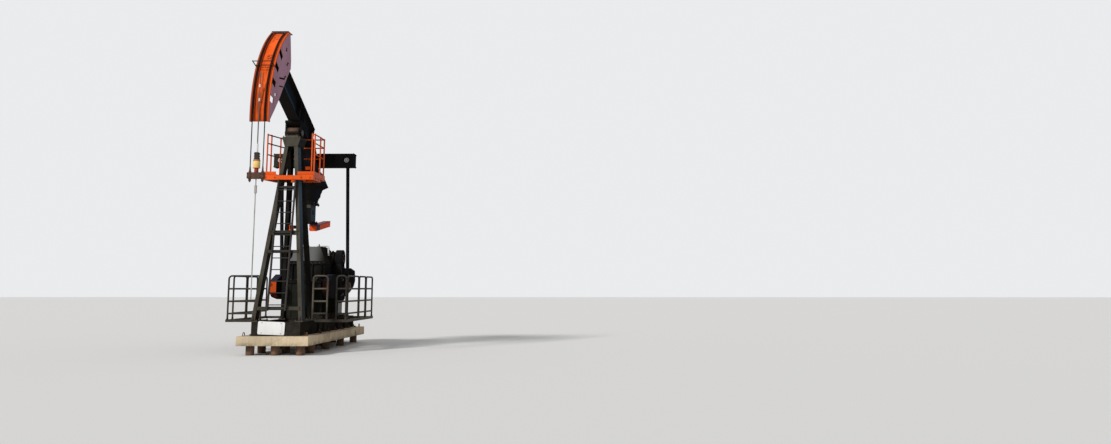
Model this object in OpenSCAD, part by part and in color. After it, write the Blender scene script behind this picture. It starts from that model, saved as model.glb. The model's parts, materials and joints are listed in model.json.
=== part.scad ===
// Pumpjack: a beam pumping unit with a tripod-like post, a curved horsehead and twin crank arms.
// The well side faces -Y, the drive end faces +Y, X = 0 is the central plane and Z = 0 is the ground.
// The rest pose is the top of the stroke, with the horsehead raised and the cranks hanging down.

/* [Main sizes] */
// Height of the saddle shaft above the ground, mm
saddle_z = 5950; // [5000:10:7000]
// Slope of the walking beam at rest, head up, degrees
beam_tilt = 23.7; // [15:0.1:30]
// Distance from the saddle shaft to the line of the well, mm
well_reach = 2885; // [2500:5:3400]
// Distance of the tail shaft behind the saddle shaft at rest, mm
tail_y = 2130; // [1900:5:2400]
// Height of the tail shaft above the ground at rest, mm
tail_z = 5480; // [5200:5:5700]
// Distance of the crankshaft behind the saddle shaft, mm
crank_y = 2450; // [2200:5:2700]
// Height of the crankshaft above the ground, mm
crank_z = 2600; // [2400:5:2800]
// Throw of the wrist pins, mm
crank_throw = 860; // [800:5:900]

/* [Foundation and skid] */
// Width of the foundation slab, mm
slab_w = 1870; // [1600:10:2200]
// Front edge of the slab from the saddle shaft, mm
slab_front = -1200; // [-1500:10:-1000]
// Rear edge of the slab, mm
slab_rear = 5150; // [4600:10:5600]
// Gap between the ground and the slab, mm
slab_bottom = 250; // [150:5:300]
// Thickness of the slab, mm
slab_t = 240; // [200:5:300]
// Radius of the pile stubs, mm
pile_r = 110; // [80:5:150]
// Width of the skid, mm
skid_w = 1270; // [1100:10:1400]
// Height of the skid, mm
skid_h = 360; // [300:5:400]
// Front face of the skid, mm
skid_front = -950; // [-1100:10:-850]
// Rear face of the skid, mm
skid_rear = 4900; // [4500:10:5400]

/* [Post] */
// Width of a post leg, mm
leg_w = 100; // [80:5:120]
// Depth of a post leg, mm
leg_d = 280; // [200:5:320]
// Thickness of a post leg's plates, mm
leg_t = 14; // [10:1:20]
// Height of the underside of the saddle plate, mm
post_top = 5780; // [5700:5:5850]
// Height where the legs meet the cap, mm
leg_top = 5560; // [5400:5:5600]
// Half distance between the front legs' centres at the skid, mm
front_foot_x = 620; // [500:5:700]
// Half distance between the front legs' centres at the cap, mm
front_head_x = 130; // [110:5:140]
// Front legs' foot from the saddle shaft, mm
front_foot_y = -760; // [-900:5:-600]
// Front legs' head from the saddle shaft, mm
front_head_y = -80; // [-100:5:-70]
// Half distance between the rear legs' centres at the skid, mm
rear_foot_x = 385; // [250:5:450]
// Half distance between the rear legs' centres at the cap, mm
rear_head_x = 125; // [80:5:130]
// Rear legs' foot from the saddle shaft, mm
rear_foot_y = 900; // [800:5:1100]
// Rear legs' head from the saddle shaft, mm
rear_head_y = 210; // [200:5:230]
// Heights of the cross bars between the front legs, mm
bar_z = [1195, 2680, 3180, 4410];
// Heights of the cross bars from top to bottom, mm
bar_h = [90, 80, 120, 80];

/* [Ladder and platform] */
// Width over the ladder rails, mm
ladder_w = 504; // [400:2:540]
// Middle of the ladder from the central plane, mm
ladder_x = -12; // [-100:2:50]
// Distance between rungs, mm
rung_pitch = 305; // [280:5:320]
// Number of rungs
rungs = 11; // [8:1:13]
// Half width of the platform, mm
deck_x = 690; // [600:10:800]
// Front edge of the platform, mm
deck_front = -415; // [-430:1:-400]
// Rear edge of the platform, mm
deck_rear = 740; // [600:10:900]
// Rear left corner of the platform from the central plane, mm
deck_left_rear = 450; // [400:10:600]
// Height of the platform's walking surface, mm
deck_z = 4750; // [4650:5:4850]
// Height of the top rail, mm
rail_top = 5880; // [5750:5:5950]

/* [Crank guards] */
// Front panels of the guards from the saddle shaft, mm
guard_front = 350; // [300:10:500]
// Rear ends of the guards, mm
guard_rear = 3520; // [3300:10:3700]
// Height of the top rail of a guard, mm
guard_top = 2050; // [1900:10:2200]
// Left side panel from the central plane, mm
guard_left_x = 1750; // [1500:10:2000]
// Right side panel from the central plane, mm
guard_right_x = 1510; // [1400:10:1800]

/* [Walking beam] */
// Distance of the beam's underside above the saddle shaft, mm
beam_low = 280; // [250:5:320]
// Depth of the beam section, mm
beam_h = 668; // [600:1:720]
// Width of the beam flanges, mm
beam_w = 300; // [250:5:350]
// Thickness of the beam flanges, mm
flange_t = 28; // [20:1:35]
// Thickness of the beam web, mm
web_t = 18; // [12:1:25]
// Length of the beam ahead of the saddle shaft, mm
beam_fore = 2020; // [1800:10:2200]
// Length of the beam behind the saddle shaft, mm
beam_aft = 1230; // [1000:10:1500]

/* [Horsehead] */
// Width of the horsehead, mm
head_w = 470; // [400:5:550]
// Lower end of the arc, degrees above the horizontal
arc_low = -3.7; // [-6:0.1:0]
// Upper end of the arc, degrees above the horizontal
arc_high = 58; // [50:0.1:60]
// Distance between the two wires, mm
wire_gap = 310; // [250:5:350]
// Radius of a wire, mm
wire_r = 13; // [9:1:16]

/* [Carrier] */
// Height of the carrier bar's middle at rest, mm
carrier_z = 4425; // [4200:5:4600]
// Length of the carrier bar, mm
carrier_w = 410; // [360:5:460]
// Radius of the polished rod, mm
rod_r = 14; // [10:1:18]
// Lower end of the polished rod at rest, mm
rod_low = 1450; // [1300:10:1600]
// Upper end of the polished rod at rest, mm
rod_high = 6990; // [6500:10:7100]

/* [Cranks and equalizer] */
// Length of the equalizer, mm
equalizer_w = 2350; // [2200:10:2500]
// Depth of the equalizer from top to bottom, mm
equalizer_h = 400; // [350:5:450]
// Gap between a crank's outer face and its wrist bearing, mm
bearing_gap = 70; // [50:5:90]
// Width of a wrist bearing across the unit, mm
bearing_w = 130; // [110:5:150]
// Width of a pitman across the unit, mm
pitman_w = 75; // [60:5:100]
// Inner face of a crank from the central plane, mm
crank_in = 680; // [650:5:720]
// Outer face of a crank from the central plane, mm
crank_out = 850; // [800:5:880]
// Sideways gap between parts that pass each other, mm
side_gap = 8; // [5:1:12]

/* [Gearbox] */
// Half width of the gearbox, mm
gearbox_x = 540; // [480:5:560]
// Height of the gearbox's flat top above the crankshaft, mm
gearbox_h = 320; // [280:5:360]
// Top of the pedestal, mm
pedestal_top = 1900; // [1800:5:2000]

/* [Hidden] */
$fn = 48;
slab_top = slab_bottom + slab_t;
skid_top = slab_top + skid_h;
running = 0.05;
wire_play = 0.3;
saddle_shaft_r = 70;
tail_shaft_r = 50;
beam_top = beam_low + beam_h;
wire_seat = well_reach - wire_r - wire_play;
face_r = wire_seat - 20;
face_back = face_r - 20;
face_lip = wire_seat + 20;
head_top = saddle_z + face_lip * sin(arc_high) + 2;
// Rear edge of the head from top to bottom: degrees above level, share of the face's radius.
head_edge = [[61, 0.984], [55, 0.752], [51, 0.687], [41, 0.68], [27, 0.7], [14, 0.757], [4.5, 0.846],
    [-4, 0.984]];
carrier_top = carrier_z + 75;
front_foot = [front_foot_x, front_foot_y, skid_top];
front_head = [front_head_x, front_head_y, leg_top];
rear_foot = [rear_foot_x, rear_foot_y, skid_top];
rear_head = [rear_head_x, rear_head_y, leg_top];
rear_d = leg_d * 0.8;
bar_proud = 8;
saddle_foot = post_top + 40;
tail_u = tail_y * cos(beam_tilt) - (tail_z - saddle_z) * sin(beam_tilt);
tail_v = tail_y * sin(beam_tilt) + (tail_z - saddle_z) * cos(beam_tilt);
tube_r = 24;
guard_foot = skid_top + 20;
guard_rails = [guard_top - 1020, guard_top - 690, guard_top - 350];
hoop_bend = 90;
pulley = [crank_y + 600, crank_z - 250];
motor_axis = [crank_y + 2000, crank_z - 1100];
belt_in = gearbox_x + 25;
belt_out = crank_in - 40;
pitman_x = crank_out + bearing_gap + bearing_w / 2;
tail_arm = sqrt(pow(tail_y, 2) + pow(saddle_z - tail_z, 2));
link_angle = atan2(crank_z - tail_z, crank_y - tail_y);
pin_y = crank_y + crank_throw * cos(link_angle);
pin_z = crank_z + crank_throw * sin(link_angle);

// Y and Z of a point about the saddle shaft: degrees above the well side's level, distance.
function polar(angle, reach) = [-reach * cos(angle), saddle_z + reach * sin(angle)];

// The point of the line from foot to head at the height z.
function at_height(foot, head, z) = foot + (head - foot) * (z - foot[2]) / (head[2] - foot[2]);

// Y and Z of a point given along the beam (u) and square to it (v).
function beam_pt(u, v) = [u * cos(beam_tilt) + v * sin(beam_tilt),
    saddle_z - u * sin(beam_tilt) + v * cos(beam_tilt)];

// Places children that are drawn up +Z from the origin along the line from p to q.
module along(p, q) {
    v = q - p;
    translate(p) rotate([-asin(v[1] / norm(v)), atan2(v[0], v[2]), 0]) children();
}

// A straight member of rectangular section from p to q: w across X, d across Y, longer by over
// at both ends.
module strut(p, q, w, d, over = 0) {
    along(p, q) translate([-w / 2, -d / 2, -over]) cube([w, d, norm(q - p) + 2 * over]);
}

// A round bar or tube from p to q.
module bar(p, q, r) {
    along(p, q) cylinder(r = r, h = norm(q - p));
}

// A quarter bend of round bar in the X-Z plane about the origin, from +X round to +Z.
module bend(reach, r) {
    rotate([90, 0, 0]) rotate_extrude(angle = 90) translate([reach, 0]) circle(r = r);
}

// A box given by its lowest corner and its highest corner.
module block(low, high) {
    translate(low) cube(high - low);
}

// A round shaft along X through y, z.
module shaft(x0, x1, y, z, r) {
    translate([x0, y, z]) rotate([0, 90, 0]) cylinder(r = r, h = x1 - x0);
}

// A plate that lies in the Y-Z plane, from x0 to x1.
module side_plate(x0, x1) {
    translate([x0, 0, 0]) rotate([90, 0, 90]) linear_extrude(x1 - x0) children();
}

// Places children that are drawn along the beam: +Y along the beam, +Z square to it.
module on_beam() {
    translate([0, 0, saddle_z]) rotate([-beam_tilt, 0, 0]) children();
}

module both_sides() {
    children();
    mirror([1, 0, 0]) children();
}

// The profile of a ring sector in the Y-Z plane, measured from the well side upwards.
module ring_sector(r0, r1, a0, a1) {
    middle = (a0 + a1) / 2;
    reach = r1 * 1.6;
    translate([0, saddle_z]) intersection() {
        difference() {
            circle(r = r1, $fn = 180);
            circle(r = r0, $fn = 180);
        }
        polygon([[0, 0], reach * [-cos(a0), sin(a0)], reach * [-cos(middle), sin(middle)],
            reach * [-cos(a1), sin(a1)]]);
    }
}

module foundation_slab() {
    color([0.66, 0.6, 0.5])
        block([-slab_w / 2, slab_front, slab_bottom], [slab_w / 2, slab_rear, slab_top]);
}

module pile_stubs() {
    color([0.4, 0.24, 0.14])
        for (x = [-0.35, 0, 0.35] * slab_w, y = [slab_front * 0.75, 0, slab_rear * 0.3, slab_rear * 0.62,
                slab_rear * 0.94])
            translate([x, y, 0]) cylinder(r = pile_r, h = slab_bottom);
}

module skid() {
    flange = 170;
    edge = 20;
    web = 14;
    middle = skid_w / 2 - flange / 2;
    cross = 120;
    color([0.13, 0.13, 0.13]) {
        both_sides() {
            for (z = [slab_top, skid_top - edge])
                block([skid_w / 2 - flange, skid_front, z], [skid_w / 2, skid_rear, z + edge]);
            block([middle - web / 2, skid_front, slab_top], [middle + web / 2, skid_rear, skid_top]);
        }
        for (share = [0, 0.32, 0.42, 0.68, 0.83, 1]) {
            y = skid_front + share * (skid_rear - skid_front - cross);
            block([-skid_w / 2, y, slab_top], [skid_w / 2, y + cross, skid_top]);
        }
    }
}

// One leg: a channel whose open side faces the central plane, of depth d.
module leg(foot, head, d) {
    over = 100;
    length = norm(head - foot);
    intersection() {
        difference() {
            strut(foot, head, leg_w, d, over);
            along(foot, head) translate([-leg_w / 2 - 1, leg_t - d / 2, -2 * over])
                cube([leg_w + 1 - leg_t, d - 2 * leg_t, length + 4 * over]);
        }
        block([0, -1300, skid_top], [900, 1400, leg_top]);
    }
}

module front_leg() {
    leg(front_foot, front_head, leg_d);
}

module rear_leg() {
    leg(rear_foot, rear_head, rear_d);
}

module post_front_legs() {
    color([0.2, 0.2, 0.19]) {
        both_sides() front_leg();
        for (i = [0:3]) {
            p = at_height(front_foot, front_head, bar_z[i]);
            front = p[1] - leg_d / 2 - bar_proud;
            block([-p[0], front, bar_z[i] - bar_h[i] / 2], [p[0], front + 60, bar_z[i] + bar_h[i] / 2]);
        }
    }
}

module post_rear_legs() {
    color([0.2, 0.2, 0.19]) {
        both_sides() rear_leg();
        for (z = [1900, 3400]) {
            p = at_height(rear_foot, rear_head, z);
            half = p[0] + leg_w / 2 - leg_t / 2;
            block([-half, p[1] - 30, z - 45], [half, p[1] + 30, z + 45]);
        }
    }
}

module post_cap() {
    front = front_head_y - leg_d / 2 - 10;
    rear = rear_head_y + rear_d / 2 + 10;
    foot = front_head_x + leg_w / 2;
    color([0.2, 0.2, 0.19]) {
        translate([0, rear, 0]) rotate([90, 0, 0]) linear_extrude(rear - front)
            polygon([[-foot, leg_top], [foot, leg_top], [foot + 63, post_top - 30],
                [-foot - 63, post_top - 30]]);
        block([-foot - 70, front, post_top - 30], [foot + 70, rear, saddle_foot]);
    }
}

module saddle_block() {
    color([0.42, 0.27, 0.16]) difference() {
        intersection() {
            union() {
                shaft(-175, 175, 0, saddle_z, 160);
                block([-175, -160, saddle_foot], [175, 160, saddle_z]);
                block([-175, -215, saddle_foot], [175, 215, saddle_foot + 35]);
            }
            block([-175, -215, saddle_foot], [175, 215, saddle_z + 200]);
        }
        shaft(-200, 200, 0, saddle_z, saddle_shaft_r + running);
    }
}

module saddle_bracket() {
    color([0.1, 0.1, 0.1]) {
        shaft(-225, 225, 0, saddle_z, saddle_shaft_r);
        on_beam() {
            block([-225, -240, beam_low - 70], [225, 240, beam_low]);
            both_sides() side_plate(185, 222)
                polygon([[-200, beam_low - 60], [-95, -20], [-60, -95], [60, -95], [95, -20],
                    [200, beam_low - 60]]);
        }
    }
}

module ladder() {
    stand_off = 55;
    half = ladder_w / 2 - 20;
    rail_y = function(z) at_height(front_foot, front_head, z)[1] - leg_d / 2 - bar_proud - stand_off;
    low = bar_z[0] - 60;
    high = deck_z - 130;
    color([0.4, 0.4, 0.4]) {
        for (x = [ladder_x - half, ladder_x + half])
            intersection() {
                strut([x, rail_y(low), low], [x, rail_y(high), high], 40, 60, 50);
                block([-1000, -1500, low], [1000, 0, high]);
            }
        for (i = [0:rungs - 1]) {
            z = low + 150 + i * rung_pitch;
            bar([ladder_x - half, rail_y(z), z], [ladder_x + half, rail_y(z), z], 13);
        }
        for (z = bar_z)
            block([ladder_x - half, rail_y(z) - 10, z - 20],
                [ladder_x + half, rail_y(z) + stand_off, z + 20]);
    }
}

// The platform: a deep frame round the post, a shallow rear part and toe boards. Its left edge runs
// in towards the rear.
module platform_deck() {
    frame_rear = 310;
    low = deck_z - 130;
    under = deck_z - 10;
    board = deck_z + 100;
    beam_t = 60;
    sheet = 12;
    turn = deck_front + 160;
    slant = (deck_x - deck_left_rear) / (deck_rear - turn);
    left_at = function(y) -deck_x + slant * (y - turn);
    color([0.86, 0.36, 0.1]) difference() {
        union() {
            block([-deck_x, deck_front, low], [deck_x, deck_front + beam_t, under]);
            block([left_at(frame_rear - beam_t), frame_rear - beam_t, low], [deck_x, frame_rear, under]);
            block([left_at(deck_rear - beam_t), deck_rear - beam_t, deck_z - 50], [deck_x, deck_rear, under]);
            block([deck_x - beam_t, deck_front, low], [deck_x, frame_rear, under]);
            block([deck_x - beam_t, deck_front, deck_z - 50], [deck_x, deck_rear, under]);
            block([-deck_x, deck_front, low], [-deck_x + beam_t, turn, under]);
            translate([0, 0, low]) linear_extrude(under - low)
                polygon([[-deck_x, turn], [left_at(frame_rear), frame_rear],
                    [left_at(frame_rear) + beam_t, frame_rear], [-deck_x + beam_t, turn]]);
            translate([0, 0, under - 2]) linear_extrude(sheet)
                polygon([[-300, deck_front], [-deck_x, deck_front], [-deck_x, turn],
                    [-deck_left_rear, deck_rear], [300, deck_rear], [300, deck_rear - 270],
                    [-300, deck_rear - 270]]);
            block([300, deck_front, under - 2], [deck_x, deck_rear, deck_z]);
            translate([0, 0, under]) linear_extrude(board - under)
                polygon([[-deck_x, turn], [-deck_left_rear, deck_rear],
                    [-deck_left_rear + sheet, deck_rear], [-deck_x + sheet, turn]]);
            block([deck_x - sheet, deck_front + 80, under], [deck_x, deck_rear, board]);
            block([-deck_left_rear, deck_rear - sheet, under], [deck_x, deck_rear, board]);
            block([-deck_x, deck_front + 68, under], [-350, deck_front + 80, board]);
            block([236, deck_front + 68, under], [deck_x, deck_front + 80, board]);
            both_sides() block([264, deck_front + 50, deck_z - 110], [310, frame_rear, under]);
        }
        both_sides() {
            front_leg();
            rear_leg();
        }
    }
}

module platform_rails() {
    x = deck_x - 35;
    y0 = deck_front + 175;
    y1 = deck_rear - 35;
    post_end = rail_top + 20;
    left = [-x + 12, y0];
    left_rear = [-deck_left_rear + 35, y1];
    color([0.86, 0.36, 0.1]) {
        for (z = [rail_top, rail_top - 240, rail_top - 550]) {
            bar([x, y0, z], [x, y1, z], 17);
            bar(concat(left, z), concat(left_rear, z), 17);
            bar(concat(left_rear, z), [x, y1, z], 17);
        }
        for (share = [0, 0.2, 0.68, 1])
            bar(concat(left + (left_rear - left) * share, deck_z),
                concat(left + (left_rear - left) * share, post_end), 20);
        for (y = [y0, y0 + 560, y1]) bar([x, y, deck_z], [x, y, post_end], 20);
        bar([x - 70, y0, deck_z], [x - 70, y0, post_end], 20);
        bar([x - 70, y0, rail_top], [x, y0, rail_top], 17);
    }
}

module walking_beam() {
    color([0.09, 0.09, 0.09]) on_beam() {
        block([-beam_w / 2, -beam_fore, beam_low], [beam_w / 2, beam_aft, beam_low + flange_t]);
        block([-beam_w / 2, -beam_fore, beam_top - flange_t], [beam_w / 2, beam_aft, beam_top]);
        block([-web_t / 2, -beam_fore, beam_low], [web_t / 2, beam_aft, beam_top]);
        for (y = [-beam_fore, -240, 220, beam_aft - 20])
            block([-beam_w / 2 + 10, y, beam_low], [beam_w / 2 - 10, y + 20, beam_top]);
    }
}

// The flat side of the head: within the arc, in front of its rear edge and below the top plate.
module head_outline() {
    intersection() {
        ring_sector(1000, face_back - 5, arc_low + 0.15, arc_high + 5);
        polygon(concat([for (p = head_edge) polar(p[0], face_r * p[1])],
            [for (angle = [-8, 30, 70]) polar(angle, face_r * 1.4)]));
        translate([-face_r, 0]) square([face_r, head_top]);
    }
}

// Sweeps a flat shape, drawn as radius and X, about the saddle shaft between two angles.
module on_arc(a0, a1) {
    translate([0, 0, saddle_z]) rotate([90, 0, 90]) rotate([0, 0, 180 - a1])
        rotate_extrude(angle = a1 - a0, $fn = 180) children();
}

module horsehead_face() {
    edge = head_w / 2;
    strip = 6;
    track = 31;
    near = wire_gap / 2 - track;
    far = wire_gap / 2 + track;
    half = [[face_r, near - strip], [face_lip, near - strip], [face_lip, near], [wire_seat, near],
        [wire_seat, far], [face_lip, far], [face_lip, far + strip], [wire_seat, far + strip],
        [wire_seat, edge]];
    color([0.9, 0.4, 0.12]) on_arc(arc_low, arc_high)
        polygon(concat([[face_back, -edge]],
            [for (i = [len(half) - 1:-1:0]) [half[i][0], -half[i][1]]], half, [[face_back, edge]]));
}

// The two flat sides with their rim behind the face, the rear strap, the cross plates and the top
// plate. Windows and slots go through both sides.
module horsehead_sides() {
    outer = head_w / 2 - 10;
    inner = outer - 20;
    window = [255, 170];
    color([0.86, 0.38, 0.12]) {
        difference() {
            union() {
                both_sides() {
                    side_plate(inner, outer) head_outline();
                    on_arc(arc_low, arc_high) polygon([[face_back - 120, inner], [face_back, inner],
                        [face_back, outer], [face_back - 120, outer]]);
                }
            }
            for (a = [8.8, 18.8, 29, 39.3])
                side_plate(-outer - 10, outer + 10) translate(polar(a, face_r - 45 - window[0] / 2))
                    rotate(-a) square(window, true);
            for (hole = [[0.892, 49.7, 110, 100], [0.861, 13.8, 110, 90]])
                side_plate(-outer - 10, outer + 10) translate(polar(hole[1], face_r * hole[0]))
                    square([hole[2], hole[3]], true);
            for (slot = [[0.777, 29.9, 430, 45], [0.754, 24.4, 330, 34]])
                side_plate(-outer - 10, outer + 10) translate(polar(slot[1], face_r * slot[0]))
                    rotate(8) square([slot[2], slot[3]], true);
        }
        side_plate(-outer, outer)
            polygon([polar(60, face_r * 0.945), polar(55.2, face_r * 0.76), polar(54.4, face_r * 0.767),
                polar(59.4, face_r * 0.95)]);
        for (a = [4, 50])
            side_plate(-outer, outer) translate(polar(a, face_back - 160)) rotate(-a)
                square([280, 16], true);
        side_plate(-outer, outer) polygon([[polar(arc_high, face_lip)[0], head_top],
            [polar(61, face_r * 0.984)[0] + 180, head_top], [polar(61, face_r * 0.984)[0] + 180, head_top + 16],
            [polar(arc_high, face_lip)[0], head_top + 16]]);
    }
}

module horsehead_bracket() {
    inner = head_w / 2 - 30;
    fore = -beam_fore;
    color([0.1, 0.1, 0.1]) on_beam() {
        block([-inner, fore - 60, beam_top - 200], [inner, fore, beam_top - 60]);
        block([-inner, fore - 60, beam_low + 40], [inner, fore, beam_low + 180]);
        block([-60, fore - 40, beam_low + 40], [60, fore, beam_top - 60]);
    }
}

// The bent bar that keeps the wires on the face: two arms and two cross bars.
module wire_guard() {
    r = 9;
    x = head_w / 2 + r;
    seat = polar(26.7, face_r - 55);
    tip = polar(25.4, face_r + 287);
    color([0.6, 0.25, 0.1]) {
        both_sides() bar([x, seat[0], seat[1]], [x, tip[0], tip[1]], r);
        for (share = [0.36, 0.96]) {
            p = seat + (tip - seat) * share;
            bar([-x, p[0], p[1]], [x, p[0], p[1]], r - 2);
        }
    }
}

module arc_wires() {
    color([0.25, 0.25, 0.26]) both_sides() on_arc(0.2, arc_high)
        translate([wire_seat + wire_r, wire_gap / 2]) circle(r = wire_r, $fn = 12);
}

module free_wires() {
    color([0.3, 0.3, 0.31])
        both_sides() translate([wire_gap / 2, -well_reach, carrier_top])
            cylinder(r = wire_r, h = saddle_z - carrier_top, $fn = 12);
}

// The hole that the polished rod fills in the pieces it carries.
module rod_hole() {
    translate([0, -well_reach, rod_low]) cylinder(r = rod_r, h = rod_high - rod_low);
}

module carrier_bar() {
    color([0.35, 0.22, 0.15]) difference() {
        union() {
            translate([-carrier_w / 2, -well_reach - 70, carrier_z - 75]) cube([carrier_w, 140, 150]);
            both_sides() translate([wire_gap / 2, -well_reach, carrier_z - 130]) cylinder(r = 32, h = 60);
        }
        rod_hole();
    }
}

module load_cell() {
    color([0.9, 0.75, 0.1]) difference() {
        translate([0, -well_reach, carrier_top]) {
            cylinder(r = 50, h = 110);
            translate([0, 0, 110]) cylinder(r = 85, h = 200);
        }
        rod_hole();
    }
}

module rod_clamp() {
    color([0.5, 0.5, 0.5]) difference() {
        translate([0, -well_reach, carrier_top + 310]) {
            translate([-48, -60, 0]) cube([96, 120, 185]);
            cylinder(r = 24, h = 400);
        }
        rod_hole();
    }
}

module polished_rod() {
    color([0.7, 0.7, 0.7]) translate([0, -well_reach, 0]) {
        translate([0, 0, rod_low]) cylinder(r = rod_r, h = rod_high - rod_low);
        translate([0, 0, carrier_z - 430]) cylinder(r = 34, h = 190);
        for (z = [6300, 6650]) translate([0, 0, z - 40]) cylinder(r = 22, h = 80);
    }
}

// The lower edge of the tail bracket, in Y and Z: 0 at the beam's end, 1 at the tail shaft's hub.
function tail_edge(share) = beam_pt(beam_aft, beam_low) * (1 - share)
    + beam_pt(tail_u - 20, tail_v - 85) * share;

module tail_bracket() {
    color([0.1, 0.1, 0.1]) difference() {
        union() {
            shaft(-90, 90, tail_y, tail_z, 115);
            on_beam() side_plate(-70, 70)
                polygon([[beam_aft, beam_low], [beam_aft, beam_top - 120], [beam_aft + 250, beam_top - 160],
                    [tail_u + 40, tail_v + 75], [tail_u - 20, tail_v - 85]]);
        }
        shaft(-200, 200, tail_y, tail_z, tail_shaft_r + running);
    }
}

module balance_arm() {
    joint = 0.05;
    foot = 1660;
    foot_z = 4134;
    top = beam_pt(beam_aft - 230, beam_low - joint);
    drop = [0, joint];
    color([0.08, 0.08, 0.08]) {
        intersection() {
            side_plate(-400, 400)
                polygon([top, tail_edge(0) - drop, tail_edge(0.4) - drop, [1850, 5150], [2360, 5050],
                    [2400, 4700], [foot + 520, foot_z + 140], [foot - 20, foot_z + 140], [1380, 4800]]);
            translate([0, 3000, 0]) rotate([90, 0, 0]) linear_extrude(3000)
                polygon([[-120, 4270], [120, 4270], [200, 4620], [360, 4700], [250, 4950], [200, 5300],
                    [80, 5600], [80, 5900], [-80, 5900], [-80, 5600], [-200, 5300], [-250, 4950],
                    [-360, 4700], [-200, 4620]]);
        }
        block([-115, foot - 10, foot_z + 46], [115, foot + 530, foot_z + 150]);
        block([-160, foot - 30, foot_z], [160, foot + 540, foot_z + 46]);
        difference() {
            block([-65, foot, foot_z - 500], [65, foot + 500, foot_z]);
            translate([0, foot + 225, foot_z - 225]) side_plate(-100, 100)
                scale([0.75, 1]) circle(r = 72);
        }
        block([-110, foot - 50, foot_z - 546], [110, foot + 600, foot_z - 486]);
    }
}

module balance_weight() {
    top = 3587.95;
    color([0.9, 0.42, 0.1]) side_plate(-105, 105)
        polygon([[2180, 3388], [3700, 3620], [3700, 3800], [2280, top], [2180, top]]);
}

module equalizer() {
    front = tail_y - 135;
    rear = tail_y + 185;
    color([0.1, 0.1, 0.1]) {
        difference() {
            block([-equalizer_w / 2, front, tail_z - equalizer_h / 2],
                [equalizer_w / 2, rear, tail_z + equalizer_h / 2]);
            block([-95, tail_y - 200, tail_z - 300], [95, tail_y + 130, tail_z + 300]);
        }
        shaft(-140, 140, tail_y, tail_z, tail_shaft_r);
        both_sides() translate([pitman_x, rear + 25, tail_z]) rotate([90, 0, 0])
            cylinder(r = 72, h = rear - front + 50);
    }
}

module pitmans() {
    pin = [pitman_x, pin_y, pin_z];
    top = [pitman_x, tail_y, tail_z];
    color([0.12, 0.12, 0.12]) both_sides() difference() {
        intersection() {
            strut(pin, top, pitman_w, 120);
            block([0, 0, 0], [pitman_x * 2, tail_y * 2, tail_z - equalizer_h / 2]);
        }
        shaft(0, pitman_x * 2, pin_y, pin_z, 135);
    }
}

module wrist_bearings() {
    color([0.3, 0.2, 0.15]) both_sides() {
        shaft(pitman_x - bearing_w / 2, pitman_x + bearing_w / 2, pin_y, pin_z, 135);
        shaft(crank_out + 20 + side_gap, pitman_x, pin_y, pin_z, 60);
    }
}

module gearbox_pedestal() {
    front = crank_y - 1000;
    rear = crank_y + 900;
    color([0.2, 0.21, 0.2]) {
        block([-540, front - 30, skid_top], [540, rear + 30, skid_top + 40]);
        difference() {
            block([-480, front, skid_top + 40], [480, rear, pedestal_top - 30]);
            block([300, front - 10, skid_top + 140], [490, rear + 10, pedestal_top - 200]);
        }
        block([-500, front - 50, pedestal_top - 30], [500, rear + 50, pedestal_top]);
    }
}

module gearbox() {
    top = crank_z + gearbox_h;
    shoulder = 310;
    front = crank_y - 750;
    rear = crank_y + 800;
    color([0.16, 0.17, 0.16]) difference() {
        union() {
            intersection() {
                side_plate(-gearbox_x, gearbox_x)
                    polygon([[front, pedestal_top], [rear, pedestal_top], [rear, crank_z - 200],
                        [rear - 150, crank_z + 150], [rear - 450, top], [front + 200, top],
                        [front, crank_z - 100]]);
                translate([0, rear + 100, 0]) rotate([90, 0, 0]) linear_extrude(rear - front + 200)
                    polygon([[-gearbox_x, pedestal_top], [gearbox_x, pedestal_top],
                        [gearbox_x, crank_z - 120], [shoulder, top], [-shoulder, top],
                        [-gearbox_x, crank_z - 120]]);
            }
            shaft(-crank_in + 60, crank_in - 60, crank_y, crank_z, 190);
        }
        shaft(-700, 700, crank_y, crank_z, 110 + running);
    }
}

module crankshaft() {
    color([0.35, 0.2, 0.15]) shaft(-crank_out - 20, crank_out + 20, crank_y, crank_z, 110);
}

// Places children that are drawn from the crankshaft, with the crank arm hanging along -Z.
module on_crank() {
    translate([0, crank_y, crank_z]) rotate([link_angle + 90, 0, 0]) children();
}

module crank_arm() {
    difference() {
        union() {
            shaft(crank_in - 15, crank_out + 12, crank_y, crank_z, 240);
            on_crank() block([crank_in, -190, -1250], [crank_out, 190, 0]);
        }
        shaft(crank_in - 100, crank_out + 100, crank_y, crank_z, 110);
    }
}

module crank_left() {
    color([0.12, 0.12, 0.12]) mirror([1, 0, 0]) crank_arm();
}

module crank_right() {
    color([0.12, 0.12, 0.12]) crank_arm();
}

// The pair of weights bolted to the two edges of a crank arm.
module crank_weight() {
    on_crank() side_plate(crank_in - 30, crank_out)
        for (side = [-1, 1])
            polygon([[190 * side, -470], [1000 * side, -385], [1516 * side, -516], [1551 * side, -834],
                [1367 * side, -985], [878 * side, -1110], [190 * side, -1190]]);
}

module crank_weight_left() {
    color([0.1, 0.1, 0.1]) mirror([1, 0, 0]) crank_weight();
}

module crank_weight_right() {
    color([0.1, 0.1, 0.1]) crank_weight();
}

module belt_guard() {
    r0 = 420;
    r1 = 260;
    across = [pulley[1] - motor_axis[1], motor_axis[0] - pulley[0]] / norm(motor_axis - pulley);
    inset = 6;
    color([0.2, 0.2, 0.2]) {
        side_plate(-belt_out, -belt_in) {
            translate(pulley) circle(r = r0);
            translate(motor_axis) circle(r = r1);
            polygon([pulley + across * (r0 - inset), motor_axis + across * (r1 - inset),
                motor_axis - across * (r1 - inset), pulley - across * (r0 - inset)]);
        }
        shaft(-belt_in - 10, -gearbox_x, pulley[0], pulley[1], 70);
    }
}

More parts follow.
